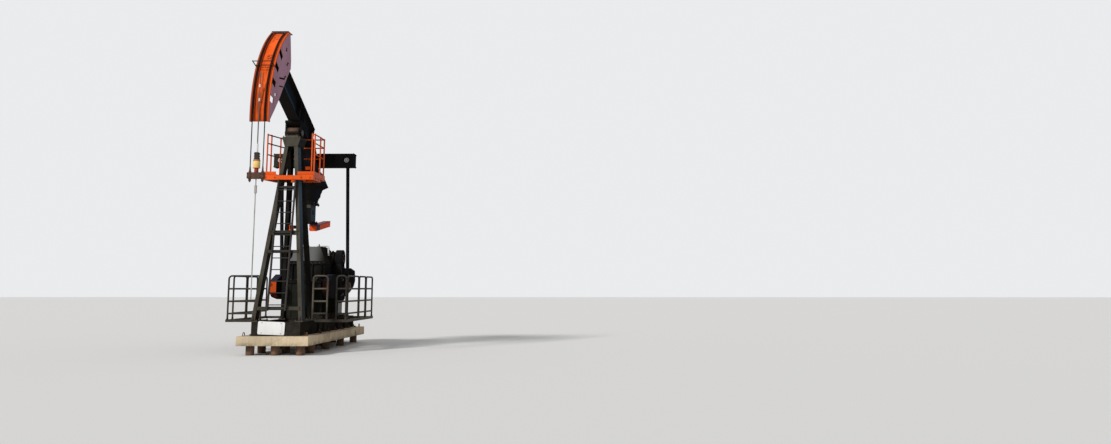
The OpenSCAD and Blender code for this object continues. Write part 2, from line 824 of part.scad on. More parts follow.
module motor() {
    axis_y = motor_axis[0];
    axis_z = motor_axis[1];
    color([0.25, 0.27, 0.3]) {
        shaft(-330, 330, axis_y, axis_z, 250);
        block([-300, axis_y - 250, skid_top], [300, axis_y + 250, axis_z - 200]);
        block([-520, axis_y - 270, skid_top], [520, axis_y + 270, skid_top + 40]);
        shaft(-belt_in, -300, axis_y, axis_z, 40);
    }
}

module brake() {
    color([0.3, 0.2, 0.16]) {
        shaft(gearbox_x, gearbox_x + 40, pulley[0], pulley[1], 60);
        shaft(gearbox_x + 30, belt_out - 10, pulley[0], pulley[1], 240);
    }
}

module vent_pipe() {
    r = 25;
    y = crank_y - 250;
    top = crank_z + gearbox_h;
    run = top + r + 2;
    reach = 60;
    side = 475;
    color([0.8, 0.8, 0.78]) {
        bar([150, y, top], [150, y, run], r);
        bar([150 - r, y, run], [side - reach, y, run], r);
        translate([side - reach, y, run - reach]) bend(reach, r);
        bar([side, y, top - 260], [side, y, run - reach], r);
    }
}

// A hoop of bent tube that stands on the base beam in the X-Z plane, from x = 0 to x = w, with its
// rails.
module hoop(w) {
    shoulder = guard_top - hoop_bend;
    for (x = [0, w]) bar([x, 0, guard_foot], [x, 0, shoulder], tube_r);
    bar([hoop_bend, 0, guard_top], [w - hoop_bend, 0, guard_top], tube_r);
    translate([w - hoop_bend, 0, shoulder]) bend(hoop_bend, tube_r);
    translate([hoop_bend, 0, shoulder]) mirror([1, 0, 0]) bend(hoop_bend, tube_r);
    for (z = guard_rails) bar([0, 0, z], [w, 0, z], tube_r);
}

// The side of a guard at x: three hoops on a base beam that two cross beams tie to the skid.
module guard_side(x, lengths) {
    base = guard_foot - 70;
    half = 40;
    foot = skid_w / 2;
    translate([x, guard_front, 0]) rotate([0, 0, 90])
        for (i = [0:2]) translate([lengths[i][0], 0, 0]) hoop(lengths[i][1] - lengths[i][0]);
    block([x - half, guard_front - half, base], [x + half, guard_rear + half, guard_foot]);
    for (y = [guard_front, guard_rear])
        block([min(x, foot * sign(x)), y - half, base], [max(x, foot * sign(x)), y + half, guard_foot]);
}

module crank_guard_left() {
    w = 900;
    span = guard_rear - guard_front;
    color([0.3, 0.3, 0.3]) {
        guard_side(-guard_left_x, [[380, 1400], [1480, 2300], [2380, span]]);
        translate([-guard_left_x, guard_front, 0]) hoop(w);
    }
}

module crank_guard_right() {
    inner = skid_w / 2 - 55;
    span = guard_rear - guard_front;
    color([0.3, 0.3, 0.3]) {
        guard_side(guard_right_x, [[90, 1370], [1450, 2250], [2330, span]]);
        translate([inner, guard_front, 0]) hoop(392);
        translate([guard_right_x - 20 - 266, guard_front, 0]) hoop(266);
        block([inner - 40, guard_front - 40, skid_top], [skid_w / 2 + 60, guard_front + 40, guard_foot]);
    }
}

module skid_board() {
    color([0.85, 0.85, 0.83])
        block([-480, skid_front - 30, slab_top + 20], [230, skid_front, skid_top + 10]);
}

foundation_slab();
pile_stubs();
skid();
post_front_legs();
post_rear_legs();
post_cap();
saddle_block();
ladder();
platform_deck();
platform_rails();
gearbox();
gearbox_pedestal();
belt_guard();
motor();
brake();
crank_guard_left();
crank_guard_right();
skid_board();
vent_pipe();
walking_beam();
saddle_bracket();
horsehead_face();
horsehead_sides();
horsehead_bracket();
wire_guard();
arc_wires();
tail_bracket();
balance_arm();
balance_weight();
carrier_bar();
load_cell();
rod_clamp();
polished_rod();
free_wires();
equalizer();
pitmans();
wrist_bearings();
crankshaft();
crank_left();
crank_right();
crank_weight_left();
crank_weight_right();
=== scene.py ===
import json
import math
from functools import cached_property

import bmesh
import bpy
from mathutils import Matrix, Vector


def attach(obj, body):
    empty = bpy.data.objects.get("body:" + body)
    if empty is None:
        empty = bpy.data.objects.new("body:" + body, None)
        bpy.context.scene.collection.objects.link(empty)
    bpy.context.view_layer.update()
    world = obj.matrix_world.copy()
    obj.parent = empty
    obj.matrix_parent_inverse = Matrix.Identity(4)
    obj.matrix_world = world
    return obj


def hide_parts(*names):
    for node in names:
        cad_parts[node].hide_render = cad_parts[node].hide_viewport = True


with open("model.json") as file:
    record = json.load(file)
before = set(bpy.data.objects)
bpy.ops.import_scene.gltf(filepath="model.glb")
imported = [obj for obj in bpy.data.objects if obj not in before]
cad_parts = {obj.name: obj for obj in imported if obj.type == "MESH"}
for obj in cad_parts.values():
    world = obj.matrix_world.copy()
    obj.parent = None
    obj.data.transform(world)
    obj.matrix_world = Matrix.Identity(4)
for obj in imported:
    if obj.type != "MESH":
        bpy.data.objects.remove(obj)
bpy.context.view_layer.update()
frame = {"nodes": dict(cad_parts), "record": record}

# Photograph's camera
FRAME_W = 1111
FOCAL_PX = 917
HORIZON_SHIFT_PX = 56
CAMERA_AT = (7.66, -24.85, 1.72)
CAMERA_PITCH = 7.58
CAMERA_YAW = 1.02
SENSOR_MM = 36.0

# Sizes that the CAD source sets, in metres
SADDLE_Z = 5.95
TILT = math.radians(23.7)
WIRE_R = 2.885
WELL_Y = -WIRE_R
FACE_R = 2.8517
FACE_BACK_R = 2.8317
HEAD_HALF = 0.225
WIRE_X = 0.155
TAIL = (2.13, 5.48)
PITMAN_X = 0.985
CRANK = (2.45, 2.6)
CRANK_IN = 0.68
CRANK_OUT = 0.85
CRANK_THROW = 0.86
CRANK_HOLES = (0.64, 1.07)
LINK_ANGLE = math.atan2(CRANK[1] - TAIL[1], CRANK[0] - TAIL[0])
MOTOR = (CRANK[0] + 2.0, CRANK[1] - 1.1)
PULLEY = (CRANK[0] + 0.6, CRANK[1] - 0.25)
SLAB_TOP = 0.49
SKID_TOP = 0.85
POST_TOP = 5.56
CROSS_BARS = ((1.195, 0.09), (2.68, 0.08), (3.18, 0.12), (4.41, 0.08))
LADDER_X = -0.012
LADDER_OUT = 0.203
FIRST_RUNG = 1.285
RUNG_GAP = 0.305
RUNGS = 11
DECK_TOP = 4.75
GUARD_FRONT = 0.35
WEIGHT_OUTLINE = ((0.19, -0.47), (1.0, -0.385), (1.516, -0.516), (1.551, -0.834), (1.367, -0.985), (0.878, -1.11),
                  (0.19, -1.19))

# Sizes of the pieces made here, in metres
FOOT_TOP = SKID_TOP + 0.02
GUARD_ROD_R = 0.0115
BASE_TOP = 1.93
FLANGE_TOP = 2.435
COVER_TOP = 2.934
PANEL_CENTRE = (0.86, -0.80)
PANEL_SHARE = 0.84
SHARP_ANGLE = math.radians(32)
BEVEL_ANGLE = math.radians(38)

# Sides and directions
BOTH = (-1, 1)
UP, DOWN = (0, 0, 1), (0, 0, -1)
LEFT, RIGHT = (-1, 0, 0), (1, 0, 0)
TO_WELL, TO_REAR = (0, -1, 0), (0, 1, 0)

looks = {}


def make_camera():
    data = bpy.data.cameras.new("camera")
    data.sensor_width = SENSOR_MM
    data.lens = FOCAL_PX / FRAME_W * SENSOR_MM
    data.shift_y = -HORIZON_SHIFT_PX / FRAME_W
    camera = bpy.data.objects.new("camera", data)
    camera.location = CAMERA_AT
    camera.rotation_euler = (math.radians(90 + CAMERA_PITCH), 0, math.radians(CAMERA_YAW))
    data.clip_end = 500
    bpy.context.collection.objects.link(camera)
    bpy.context.scene.camera = camera


# Places of points
def polar(angle, reach, x=0.0):
    """A point about the saddle shaft: degrees above the well side's level, distance."""
    a = math.radians(angle)
    return Vector((x, -reach * math.cos(a), SADDLE_Z + reach * math.sin(a)))


def on_beam(x, u, v):
    """A point given along the beam (u, rearwards) and square to it (v, upwards)."""
    return Vector((x, u * math.cos(TILT) + v * math.sin(TILT),
                   SADDLE_Z - u * math.sin(TILT) + v * math.cos(TILT)))


ALONG_BEAM = on_beam(0, 1, 0) - on_beam(0, 0, 0)
OFF_BEAM = on_beam(0, 0, 1) - on_beam(0, 0, 0)
CRANK_DIR = Vector((0, math.cos(LINK_ANGLE), math.sin(LINK_ANGLE)))
CRANK_SIDE = Vector((0, -math.sin(LINK_ANGLE), math.cos(LINK_ANGLE)))


def on_crank(x, down, across=0.0):
    """A point of a crank: distance out along the arm, and across it towards the rear."""
    return Vector((x, *CRANK)) + CRANK_DIR * down + CRANK_SIDE * across


def front_leg(z, side=1):
    share = (z - SKID_TOP) / (POST_TOP - SKID_TOP)
    return Vector((side * (0.62 - 0.49 * share), -0.76 + 0.68 * share, z))


def rear_leg(z, side=1):
    share = (z - SKID_TOP) / (POST_TOP - SKID_TOP)
    return Vector((side * (0.385 - 0.26 * share), 0.9 - 0.69 * share, z))


def arc_frame(angle):
    """The directions outwards and along the arc at that angle."""
    out = polar(angle, 1) - polar(angle, 0)
    return out, Vector((0, -out.z, out.y))


def mirrored(*values):
    return [s * value for value in values for s in BOTH]


def wobble(i, seed=0.0):
    """A repeatable value from -1 to 1."""
    return math.sin(i * 12.9898 + seed * 78.233) * 43758.5453 % 2 - 1


# Mesh pieces
class Part:
    """Gathers small solids in mesh code; make() turns them into a piece and starts the next one."""

    def __init__(self):
        self.verts = []
        self.faces = []

    def skin(self, rings, around=False):
        """Joins rings of equally many points, with a cap at each end unless the rings close on themselves."""
        start, count = len(self.verts), len(rings[0])
        for ring in rings:
            self.verts.extend(tuple(p) for p in ring)
        for i in range(len(rings) if around else len(rings) - 1):
            a, b = start + i * count, start + (i + 1) % len(rings) * count
            for j in range(count):
                k = (j + 1) % count
                self.faces.append((a + j, a + k, b + k, b + j))
        if not around:
            self.faces.append(tuple(range(start + count - 1, start - 1, -1)))
            self.faces.append(tuple(range(start + (len(rings) - 1) * count, start + len(rings) * count)))

    def prism(self, outline, depth):
        outline = [Vector(p) for p in outline]
        self.skin([outline, [p + Vector(depth) for p in outline]])

    def box(self, low, high):
        (x0, y0, z0), (x1, y1, z1) = low, high
        self.prism([(x0, y0, z0), (x1, y0, z0), (x1, y1, z0), (x0, y1, z0)], (0, 0, z1 - z0))

    def slab(self, centre, u, v, w):
        """A box about centre, given by its three half edges."""
        c, u, v, w = Vector(centre), Vector(u), Vector(v), Vector(w)
        self.prism([c - u - v - w, c + u - v - w, c + u + v - w, c - u + v - w], w * 2)

    def brick(self, centre, halves):
        """A box about centre along the axes, given by its half sizes."""
        x, y, z = halves
        self.slab(centre, (x, 0, 0), (0, y, 0), (0, 0, z))

    def lathe(self, at, axis, profile, sides=24, around=False):
        """Turns a profile of (radius, height) about the axis through at."""
        turn = Vector(axis).to_track_quat("Z", "Y").to_matrix()
        rings = []
        for r, h in profile:
            rings.append([Vector(at) + turn @ Vector((r * math.cos(t), r * math.sin(t), h))
                          for t in (math.tau * (i + 0.5) / sides for i in range(sides))])
        self.skin(rings, around)

    def disc(self, at, axis, r, h, sides=24, chamfer=0.15):
        c = min(h, r) * chamfer
        self.lathe(at, axis, [(r, 0), (r, h - c), (r - c, h)], sides)

    def ring(self, at, axis, inner, outer, h, sides=32):
        self.lathe(at, axis, [(inner, 0), (outer, 0), (outer, h), (inner, h)], sides, True)

    def tube(self, path, r, sides=10, closed=False):
        path = [Vector(p) for p in path]
        count = len(path)
        radii = r if isinstance(r, (list, tuple)) else [r] * count
        rings, up = [], None
        for i, p in enumerate(path):
            before = path[i - 1] if i or closed else p
            after = path[(i + 1) % count] if i < count - 1 or closed else p
            ahead = (after - before).normalized()
            if up is None:
                up = Vector((0, 0, 1)) if abs(ahead.z) < 0.9 else Vector((1, 0, 0))
            up = (up - ahead * up.dot(ahead)).normalized()
            side = ahead.cross(up)
            rings.append([p + (up * math.cos(t) + side * math.sin(t)) * radii[i]
                          for t in (math.tau * j / sides for j in range(sides))])
        self.skin(rings, closed)

    def bolt(self, at, axis, size, stick=0.3):
        """A washer, a hexagon nut of that width and the end of its thread."""
        at, axis = Vector(at), Vector(axis).normalized()
        self.lathe(at - axis * 0.002, axis, [(size * 0.72, 0), (size * 0.72, size * 0.1 + 0.002)], 14)
        r = size * 0.577
        self.lathe(at + axis * size * 0.1, axis,
                   [(r * 0.96, 0), (r, size * 0.08), (r, size * 0.44), (r * 0.88, size * 0.52)], 6)
        if stick:
            top = size * (0.6 + stick)
            self.lathe(at + axis * size * 0.55, axis, [(size * 0.27, 0), (size * 0.27, top - size * 0.6),
                                                       (size * 0.22, top - size * 0.55)], 8)

    def bolts(self, xs, ys, zs, axis, size, stick=0.3):
        for x in xs:
            for y in ys:
                for z in zs:
                    self.bolt((x, y, z), axis, size, stick)

    def bolt_circle(self, at, axis, radius, count, size, turn=0.0, stick=0.3):
        rotation = Vector(axis).to_track_quat("Z", "Y").to_matrix()
        for i in range(count):
            t = math.tau * i / count + turn
            place = Vector(at) + rotation @ Vector((radius * math.cos(t), radius * math.sin(t), 0))
            self.bolt(place, axis, size, stick)

    def eye(self, centre, r, thick):
        """A lifting eye: a ring of rod that stands square to X."""
        x, y, z = centre
        self.tube([(x, y + r * math.cos(t), z + r * math.sin(t))
                   for t in (math.tau * i / 16 for i in range(16))], thick, 8, True)

    def weld(self, p, q, r=0.007, seed=0.0):
        """A bead between two points."""
        p, q = Vector(p), Vector(q)
        steps = max(2, int((q - p).length / 0.016))
        path, radii = [], []
        for i in range(steps + 1):
            path.append(p.lerp(q, i / steps))
            radii.append(r * (0.85 + 0.22 * wobble(i, seed)) * (0.5 if i in (0, steps) else 1))
        self.tube(path, radii, 6)

    def make(self, name, body, look="bolt_steel", bevel=0.0):
        mesh = bpy.data.meshes.new(name)
        work = bmesh.new()
        points = [work.verts.new(v) for v in self.verts]
        for face in self.faces:
            work.faces.new([points[i] for i in face])
        bmesh.ops.recalc_face_normals(work, faces=work.faces)
        for face in work.faces:
            face.smooth = True
        work.to_mesh(mesh)
        work.free()
        mesh.set_sharp_from_angle(angle=SHARP_ANGLE)
        mesh.materials.append(looks[look])
        piece = bpy.data.objects.new(name, mesh)
        bpy.context.collection.objects.link(piece)
        if bevel:
            add_bevel(piece, bevel)
        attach(piece, body)
        self.verts, self.faces = [], []
        return piece


def add_bevel(piece, width):
    bevel = piece.modifiers.new("bevel", "BEVEL")
    bevel.width = width
    bevel.segments = 2
    bevel.limit_method = "ANGLE"
    bevel.angle_limit = BEVEL_ANGLE
    bevel.use_clamp_overlap = True
    bevel.harden_normals = True


# Materials
class Nodes:
    """A material's node tree, built up call by call."""

    def __init__(self, name):
        self.material = bpy.data.materials.new(name)
        self.material.use_nodes = True
        self.tree = self.material.node_tree
        self.tree.nodes.clear()
        self.coords = self.add("ShaderNodeTexCoord").outputs

    def add(self, kind, inputs=None, **settings):
        """A node whose inputs are filled from values or from other nodes' outputs."""
        node = self.tree.nodes.new(kind)
        for key, value in settings.items():
            setattr(node, key, value)
        for key, value in (inputs or {}).items():
            if isinstance(value, bpy.types.NodeSocket):
                self.tree.links.new(value, node.inputs[key])
            else:
                node.inputs[key].default_value = value
        return node

    @cached_property
    def place(self):
        return self.add("ShaderNodeSeparateXYZ", {0: self.coords["Object"]}).outputs

    @cached_property
    def facing(self):
        return self.add("ShaderNodeSeparateXYZ", {0: self.coords["Normal"]}).outputs

    def math(self, operation, a, b=0.5, clamp=False):
        return self.add("ShaderNodeMath", {0: a, 1: b}, operation=operation, use_clamp=clamp).outputs[0]

    def times(self, a, b, clamp=False):
        return self.math("MULTIPLY", a, b, clamp)

    def plus(self, a, b):
        return self.math("ADD", a, b)

    def minus(self, a, b, clamp=False):
        return self.math("SUBTRACT", a, b, clamp)

    def most(self, a, b):
        return self.math("MAXIMUM", a, b)

    def size(self, a):
        return self.math("ABSOLUTE", a)

    def wave(self, a):
        return self.math("SINE", a)

    def ramp(self, value, low, high, out_low=0.0, out_high=1.0):
        inputs = dict(enumerate((value, low, high, out_low, out_high)))
        return self.add("ShaderNodeMapRange", inputs, interpolation_type="SMOOTHSTEP").outputs[0]

    def band(self, value, low, high, soft):
        """1 between low and high, 0 outside, with soft edges."""
        return self.times(self.ramp(value, low - soft, low + soft), self.ramp(value, high + soft, high - soft))

    def noise(self, scale, detail=5.0, rough=0.55, stretch=(1, 1, 1), offset=0.0, vector=None):
        place = self.add("ShaderNodeMapping", {"Vector": vector or self.coords["Object"], "Scale": stretch,
                                               "Location": (offset, offset * 0.7, offset * 1.3)})
        return self.add("ShaderNodeTexNoise", {"Vector": place.outputs[0], "Scale": scale, "Detail": detail,
                                               "Roughness": rough}).outputs["Fac"]

    def join(self, x, y, z=0.0):
        return self.add("ShaderNodeCombineXYZ", {0: x, 1: y, 2: z}).outputs[0]

    def arc(self):
        """X, the length along the arc of the face and the distance from the saddle shaft."""
        x, y, z = self.place
        up = self.minus(z, SADDLE_Z)
        out = self.times(y, -1.0)
        along = self.times(self.math("ARCTAN2", up, out), FACE_R)
        return x, along, self.math("SQRT", self.plus(self.times(up, up), self.times(out, out)))

    def mix(self, factor, a, b):
        a, b = (c if isinstance(c, bpy.types.NodeSocket) else (*c, 1.0) for c in (a, b))
        return self.add("ShaderNodeMix", {0: factor, 6: a, 7: b}, data_type="RGBA").outputs[2]

    def finish(self, colour, rough, metallic, height, bump, gloss):
        relief = self.add("ShaderNodeBump", {"Strength": bump, "Distance": 0.004, "Height": height})
        shader = self.add("ShaderNodeBsdfPrincipled", {
            "Base Color": colour, "Roughness": rough, "Metallic": metallic, "Normal": relief.outputs[0],
            "Specular IOR Level": gloss})
        self.add("ShaderNodeOutputMaterial", {"Surface": shader.outputs[0]})
        return self.material


DUST = (0.33, 0.265, 0.19)
RUST = (0.17, 0.065, 0.028)
# Painted shade: the colour put in corners and on faces that look down.
PAINTED_SHADE = (0.016, 0.013, 0.011)


def weathered(name, colour, rough=0.5, metallic=0.0, vary=0.3, dust=0.5, rust=0.3, worn=0.5, corner_shade=0.5,
              bump=0.35, worn_colour=RUST, gloss=0.5, marks=None, relief=None, low_dust=0.6, under=0.5):
    """Paint or bare metal with patchy colour, settled dust, rust spots, worn edges, and painted shade in corners and
    on undersides.
    """
    n = Nodes(name)
    broad = n.noise(0.9, 6, 0.6)
    patches = n.noise(5.0, 7, 0.62, offset=3.1)
    fine = n.noise(34.0, 6, 0.6, offset=7.7)
    streaks = n.noise(6.0, 5, 0.6, stretch=(2.2, 2.2, 0.16), offset=1.9)

    darker = [c * (1 - vary) for c in colour]
    lighter = [min(1.0, c * (1 + vary) + 0.01 * vary) for c in colour]
    paint = n.mix(n.ramp(broad, 0.35, 0.65), darker, lighter)
    paint = n.mix(n.ramp(streaks, 0.5, 0.72, 0.0, 0.45), paint, [c * 0.55 for c in colour])
    if marks:
        paint = marks(n, paint)

    bevel = n.add("ShaderNodeBevel", {"Radius": 0.012}, samples=4)
    normal = n.add("ShaderNodeNewGeometry").outputs["Normal"]
    turned = n.add("ShaderNodeVectorMath", {0: bevel.outputs[0], 1: normal}, operation="DOT_PRODUCT")
    edge = n.ramp(turned.outputs["Value"], 0.97, 0.75)
    edge = n.times(edge, n.ramp(patches, 0.42, 0.6))
    spots = n.ramp(n.plus(n.times(patches, 0.65), n.times(fine, 0.35)), 0.66 - 0.2 * rust, 0.72 - 0.2 * rust)
    rusty = n.times(spots, min(1.0, rust * 2), clamp=True)
    rusty = n.most(rusty, n.times(edge, worn))
    rust_colour = n.mix(n.ramp(fine, 0.35, 0.65), [c * 0.55 for c in worn_colour], [c * 1.35 for c in worn_colour])
    body = n.mix(rusty, paint, rust_colour)

    # Painted shade: darker in corners, where ambient occlusion finds them, and on faces that look down.
    shade = n.add("ShaderNodeAmbientOcclusion", {"Distance": 0.12}, samples=4)
    corner = n.ramp(shade.outputs["AO"], 0.85, 0.35, 0.0, corner_shade)
    body = n.mix(corner, body, PAINTED_SHADE)

    body = n.mix(n.ramp(n.facing[2], -0.15, -0.85, 0.0, under), body, PAINTED_SHADE)
    settled = n.times(n.ramp(n.facing[2], 0.25, 0.95), n.ramp(patches, 0.3, 0.6, 0.35, 1.0))
    film = n.times(n.ramp(broad, 0.3, 0.75, 0.05, 0.3), n.ramp(fine, 0.3, 0.7, 0.5, 1.0))
    low = n.ramp(n.place[2], 2.0, 0.3, 0.0, low_dust)
    film = n.plus(film, n.times(low, n.ramp(patches, 0.35, 0.65, 0.3, 1.0)))
    cover = n.times(n.most(settled, film), dust, clamp=True)
    body = n.mix(cover, body, n.mix(fine, [c * 0.8 for c in DUST], [c * 1.15 for c in DUST]))

    matt = n.most(rusty, cover)
    roughness = n.ramp(matt, 0.0, 1.0, rough, 0.92)
    shine = n.times(n.minus(1.0, matt, clamp=True), metallic)
    height = n.plus(n.times(fine, 0.5), n.times(rusty, 0.6))
    if relief:
        height = n.plus(height, relief(n))
    looks[name] = n.finish(body, roughness, shine, height, bump, gloss)


def face_marks(n, paint):
    """Dark tracks under the wires, grease down the lower middle, stains and rust scribbles higher up, and painted
    shade on the left rim and on the inner side.
    """
    x, along, reach = n.arc()
    flow = n.join(n.times(x, 9.0), n.times(along, 1.1))
    runs = n.noise(1.6, 6, 0.6, vector=flow)
    middle = n.band(x, -0.075, 0.085, 0.035)
    grease = n.times(n.times(middle, n.band(along, -0.1, 1.5, 0.35)), n.ramp(runs, 0.42, 0.58))
    paint = n.mix(n.times(grease, 0.72), paint, (0.13, 0.035, 0.012))
    stain = n.times(n.band(along, 1.56, 1.72, 0.06), n.band(x, -0.02, 0.14, 0.03))
    stain = n.times(stain, n.ramp(n.noise(24, 5, 0.7), 0.4, 0.55))
    paint = n.mix(stain, paint, (0.06, 0.02, 0.012))
    scribble = n.times(n.band(along, 2.28, 2.8, 0.1), n.band(x, -0.15, 0.13, 0.03))
    line = n.ramp(n.size(n.minus(n.noise(7, 3, 0.5, offset=5.0), 0.5)), 0.035, 0.012)
    paint = n.mix(n.times(scribble, line), paint, (0.22, 0.03, 0.008))
    near = n.size(n.minus(n.size(x), WIRE_X))
    # Painted shade: a darker brown on the left rim, for the wire's shadow.
    paint = n.mix(n.ramp(x, -0.165, -0.19, 0.0, 0.75), paint, (0.24, 0.05, 0.022))
    edge_run = n.times(n.ramp(near, 0.075, 0.03), n.ramp(runs, 0.4, 0.6, 0.45, 1.0))
    paint = n.mix(n.times(edge_run, 0.6), paint, (0.17, 0.03, 0.01))
    track = n.times(n.ramp(near, 0.036, 0.02), n.ramp(reach, FACE_R - 0.002, FACE_R))
    paint = n.mix(n.times(track, 0.93), paint, (0.030, 0.010, 0.006))
    # Painted shade: near black on the face's inner side, below its outer surface.
    return n.mix(n.ramp(reach, FACE_R - 0.006, FACE_R - 0.014), paint, (0.03, 0.012, 0.008))


def head_marks(n, paint):
    """Painted shade and painted sky reflection in the mauve of the flat sides, with orange left in patches, along the
    rim and on the cut edges, and painted shade on the inner faces.
    """
    orange_patches = n.noise(2.6, 6, 0.6, stretch=(1, 1, 0.5), offset=9.0)
    paint = n.mix(n.ramp(orange_patches, 0.62, 0.72, 0.0, 0.6), paint, (0.55, 0.13, 0.05))
    x, _, reach = n.arc()
    rim = n.ramp(reach, FACE_R - 0.05, FACE_R - 0.03)
    paint = n.mix(n.times(rim, 0.8), paint, (0.62, 0.12, 0.035))
    cut = n.ramp(n.size(n.facing[0]), 0.8, 0.5)
    paint = n.mix(n.times(cut, 0.85), paint, (0.50, 0.06, 0.012))
    # Painted shade: near black on the plates' inner faces.
    inside = n.ramp(n.size(x), HEAD_HALF - 0.003, HEAD_HALF - 0.008)
    return n.mix(n.times(inside, 0.95), paint, (0.014, 0.008, 0.007))


def platform_marks(n, paint):
    """Painted shade and painted sky reflection in mauve on the faces that look sideways, and scuffs where people
    stand.
    """
    side = n.ramp(n.size(n.facing[0]), 0.75, 0.95, 0.0, 0.55)
    paint = n.mix(side, paint, (0.40, 0.17, 0.14))
    top = n.times(n.ramp(n.facing[2], 0.8, 0.95), n.ramp(n.noise(3.5, 6, 0.65, offset=2.0), 0.4, 0.62))
    return n.mix(n.times(top, 0.75), paint, (0.16, 0.09, 0.06))


def weight_marks(n, paint):
    """Painted shade: a purple-grey strip along the slanted top of the balance weight, for its shaded side."""
    top = n.plus(n.times(n.minus(n.place[1], 2.28), 0.1493), 3.588)
    strip = n.ramp(n.minus(top, n.place[2]), 0.045, 0.03)
    return n.mix(n.times(strip, 0.85), paint, (0.10, 0.055, 0.085))


def end_marks(n, paint):
    """Faded orange on the ends of the crank weights that look to the well, with a painted sky reflection in dark blue
    on faces that look up towards the well.
    """
    front = n.times(n.ramp(n.facing[1], -0.45, -0.75), n.ramp(n.facing[2], 0.35, 0.1))
    left = n.ramp(n.place[0], 0.2, -0.2, 0.06, 1.0)
    front = n.times(n.times(front, left), n.ramp(n.noise(4, 6, 0.65, offset=6.0), 0.3, 0.45))
    # Painted sky reflection: dark blue on faces that look up towards the well.
    paint = n.mix(n.times(n.ramp(n.facing[2], 0.3, 0.6), n.ramp(n.facing[1], 0.1, -0.2)), paint,
                  (0.020, 0.022, 0.040))
    worn = n.times(n.ramp(n.noise(1.3, 3, 0.5, offset=15.0), 0.55, 0.62), n.ramp(n.place[0], -0.2, 0.2))
    paint = n.mix(n.times(worn, 0.5), paint, (0.045, 0.007, 0.009))
    high = n.times(n.ramp(n.place[1], 3.35, 3.6), n.ramp(n.place[2], 2.2, 2.45))
    paint = n.mix(n.times(high, n.ramp(n.place[0], 0.2, 0.4)), paint, (0.15, 0.018, 0.022))
    return n.mix(front, paint, (0.52, 0.075, 0.014))


def leg_marks(n, paint):
    """Painted sky reflection in blue on the sides that look right, stronger higher up, near black on the left leg and
    at the top; painted shade on the sides that look left.
    """
    cool = n.mix(n.ramp(n.place[2], 2.4, 4.6), (0.012, 0.018, 0.024), (0.040, 0.072, 0.115))
    cool = n.mix(n.ramp(n.place[0], 0.02, -0.02), cool, (0.004, 0.004, 0.004))
    cool = n.mix(n.ramp(n.place[2], 5.5, POST_TOP), cool, (0.010, 0.012, 0.014))
    paint = n.mix(n.ramp(n.facing[0], 0.5, 0.9), paint, cool)
    return n.mix(n.ramp(n.facing[0], -0.5, -0.9), paint, (0.005, 0.005, 0.005))


def sheen_marks(n, paint):
    """Painted sky reflection: a blue-grey cast on the sides that look right."""
    sheen_amount = n.ramp(n.noise(1.2, 4, 0.5, offset=11.0), 0.4, 0.62, 0.3, 1.0)
    return n.mix(n.times(n.ramp(n.facing[0], 0.5, 0.9), sheen_amount), paint, (0.010, 0.016, 0.026))


def beam_marks(n, paint):
    """Painted sky reflection: the web's blue-grey cast, strongest along its lower edge and towards the head."""
    _, y, z = n.place
    up = n.minus(z, SADDLE_Z)
    v = n.plus(n.times(y, math.sin(TILT)), n.times(up, math.cos(TILT)))
    u = n.minus(n.times(y, math.cos(TILT)), n.times(up, math.sin(TILT)))
    band = n.times(n.band(v, 0.34, 0.62, 0.07), n.ramp(u, 0.3, -0.9, 0.25, 1.0))
    band = n.times(band, n.ramp(n.facing[0], 0.5, 0.9))
    return n.mix(band, sheen_marks(n, paint), (0.035, 0.060, 0.090))


def arm_marks(n, paint):
    """Painted sky reflection: the blue-grey right side of the column above the balance weight."""
    column = n.times(n.ramp(n.facing[0], 0.5, 0.9), n.band(n.place[2], 3.66, 4.12, 0.01))
    return n.mix(column, sheen_marks(n, paint), (0.045, 0.062, 0.080))


def rail_marks(n, paint):
    """Shaded right sides of the left rails."""
    shade = n.times(n.ramp(n.facing[0], 0.2, 0.7), n.ramp(n.place[0], 0.1, -0.1, 0.15, 0.75))
    return n.mix(shade, paint, (0.09, 0.020, 0.018))


def guard_marks(n, paint):
    """The paler hoop beside the post's right foot."""
    x, _, z = n.place
    hoop = n.times(n.band(x, 0.5, 1.1, 0.05), n.ramp(z, 1.0, 1.3))
    return n.mix(n.times(hoop, 0.75), paint, (0.16, 0.135, 0.10))


def gearbox_marks(n, paint):
    """Painted light: a grey slope towards the well, fading to painted shade on the right, and a painted sky reflection
    in blue-grey on the top.
    """
    slope = n.times(n.ramp(n.facing[1], -0.25, -0.45), n.ramp(n.facing[2], 0.15, 0.3))
    slope = n.times(slope, n.ramp(n.place[0], 0.5, 0.1))
    paint = n.mix(slope, paint, (0.13, 0.13, 0.125))
    return n.mix(n.ramp(n.facing[2], 0.9, 0.97), paint, (0.022, 0.032, 0.055))


def saddle_marks(n, paint):
    """A narrow rusty bearing cap, near black at its sides and below it, over a dusty foot."""
    x, _, z = n.place
    paint = n.mix(n.band(x, -0.13, 0.13, 0.03), (0.010, 0.007, 0.006), paint)
    paint = n.mix(n.ramp(z, 6.0, 5.97), paint, (0.010, 0.007, 0.006))
    return n.mix(n.ramp(z, 5.872, 5.862), paint, (0.10, 0.085, 0.06))


def equalizer_marks(n, paint):
    """Painted light on the left end's front, which the sun reaches."""
    lit = n.times(n.ramp(n.facing[1], -0.7, -0.9), n.ramp(n.place[0], -0.35, -0.55))
    return n.mix(lit, sheen_marks(n, paint), (0.034, 0.034, 0.027))


def cell_marks(n, paint):
    """The stack's red collar, cream body and brown top."""
    z = n.place[2]
    paint = n.mix(n.ramp(z, 4.616, 4.606), paint, (0.42, 0.035, 0.02))
    return n.mix(n.ramp(z, 4.765, 4.785), paint, (0.42, 0.17, 0.05))


def clamp_marks(n, paint):
    """A black clamp below a pale sleeve."""
    return n.mix(n.ramp(n.place[2], 4.99, 5.0), paint, (0.62, 0.62, 0.6))


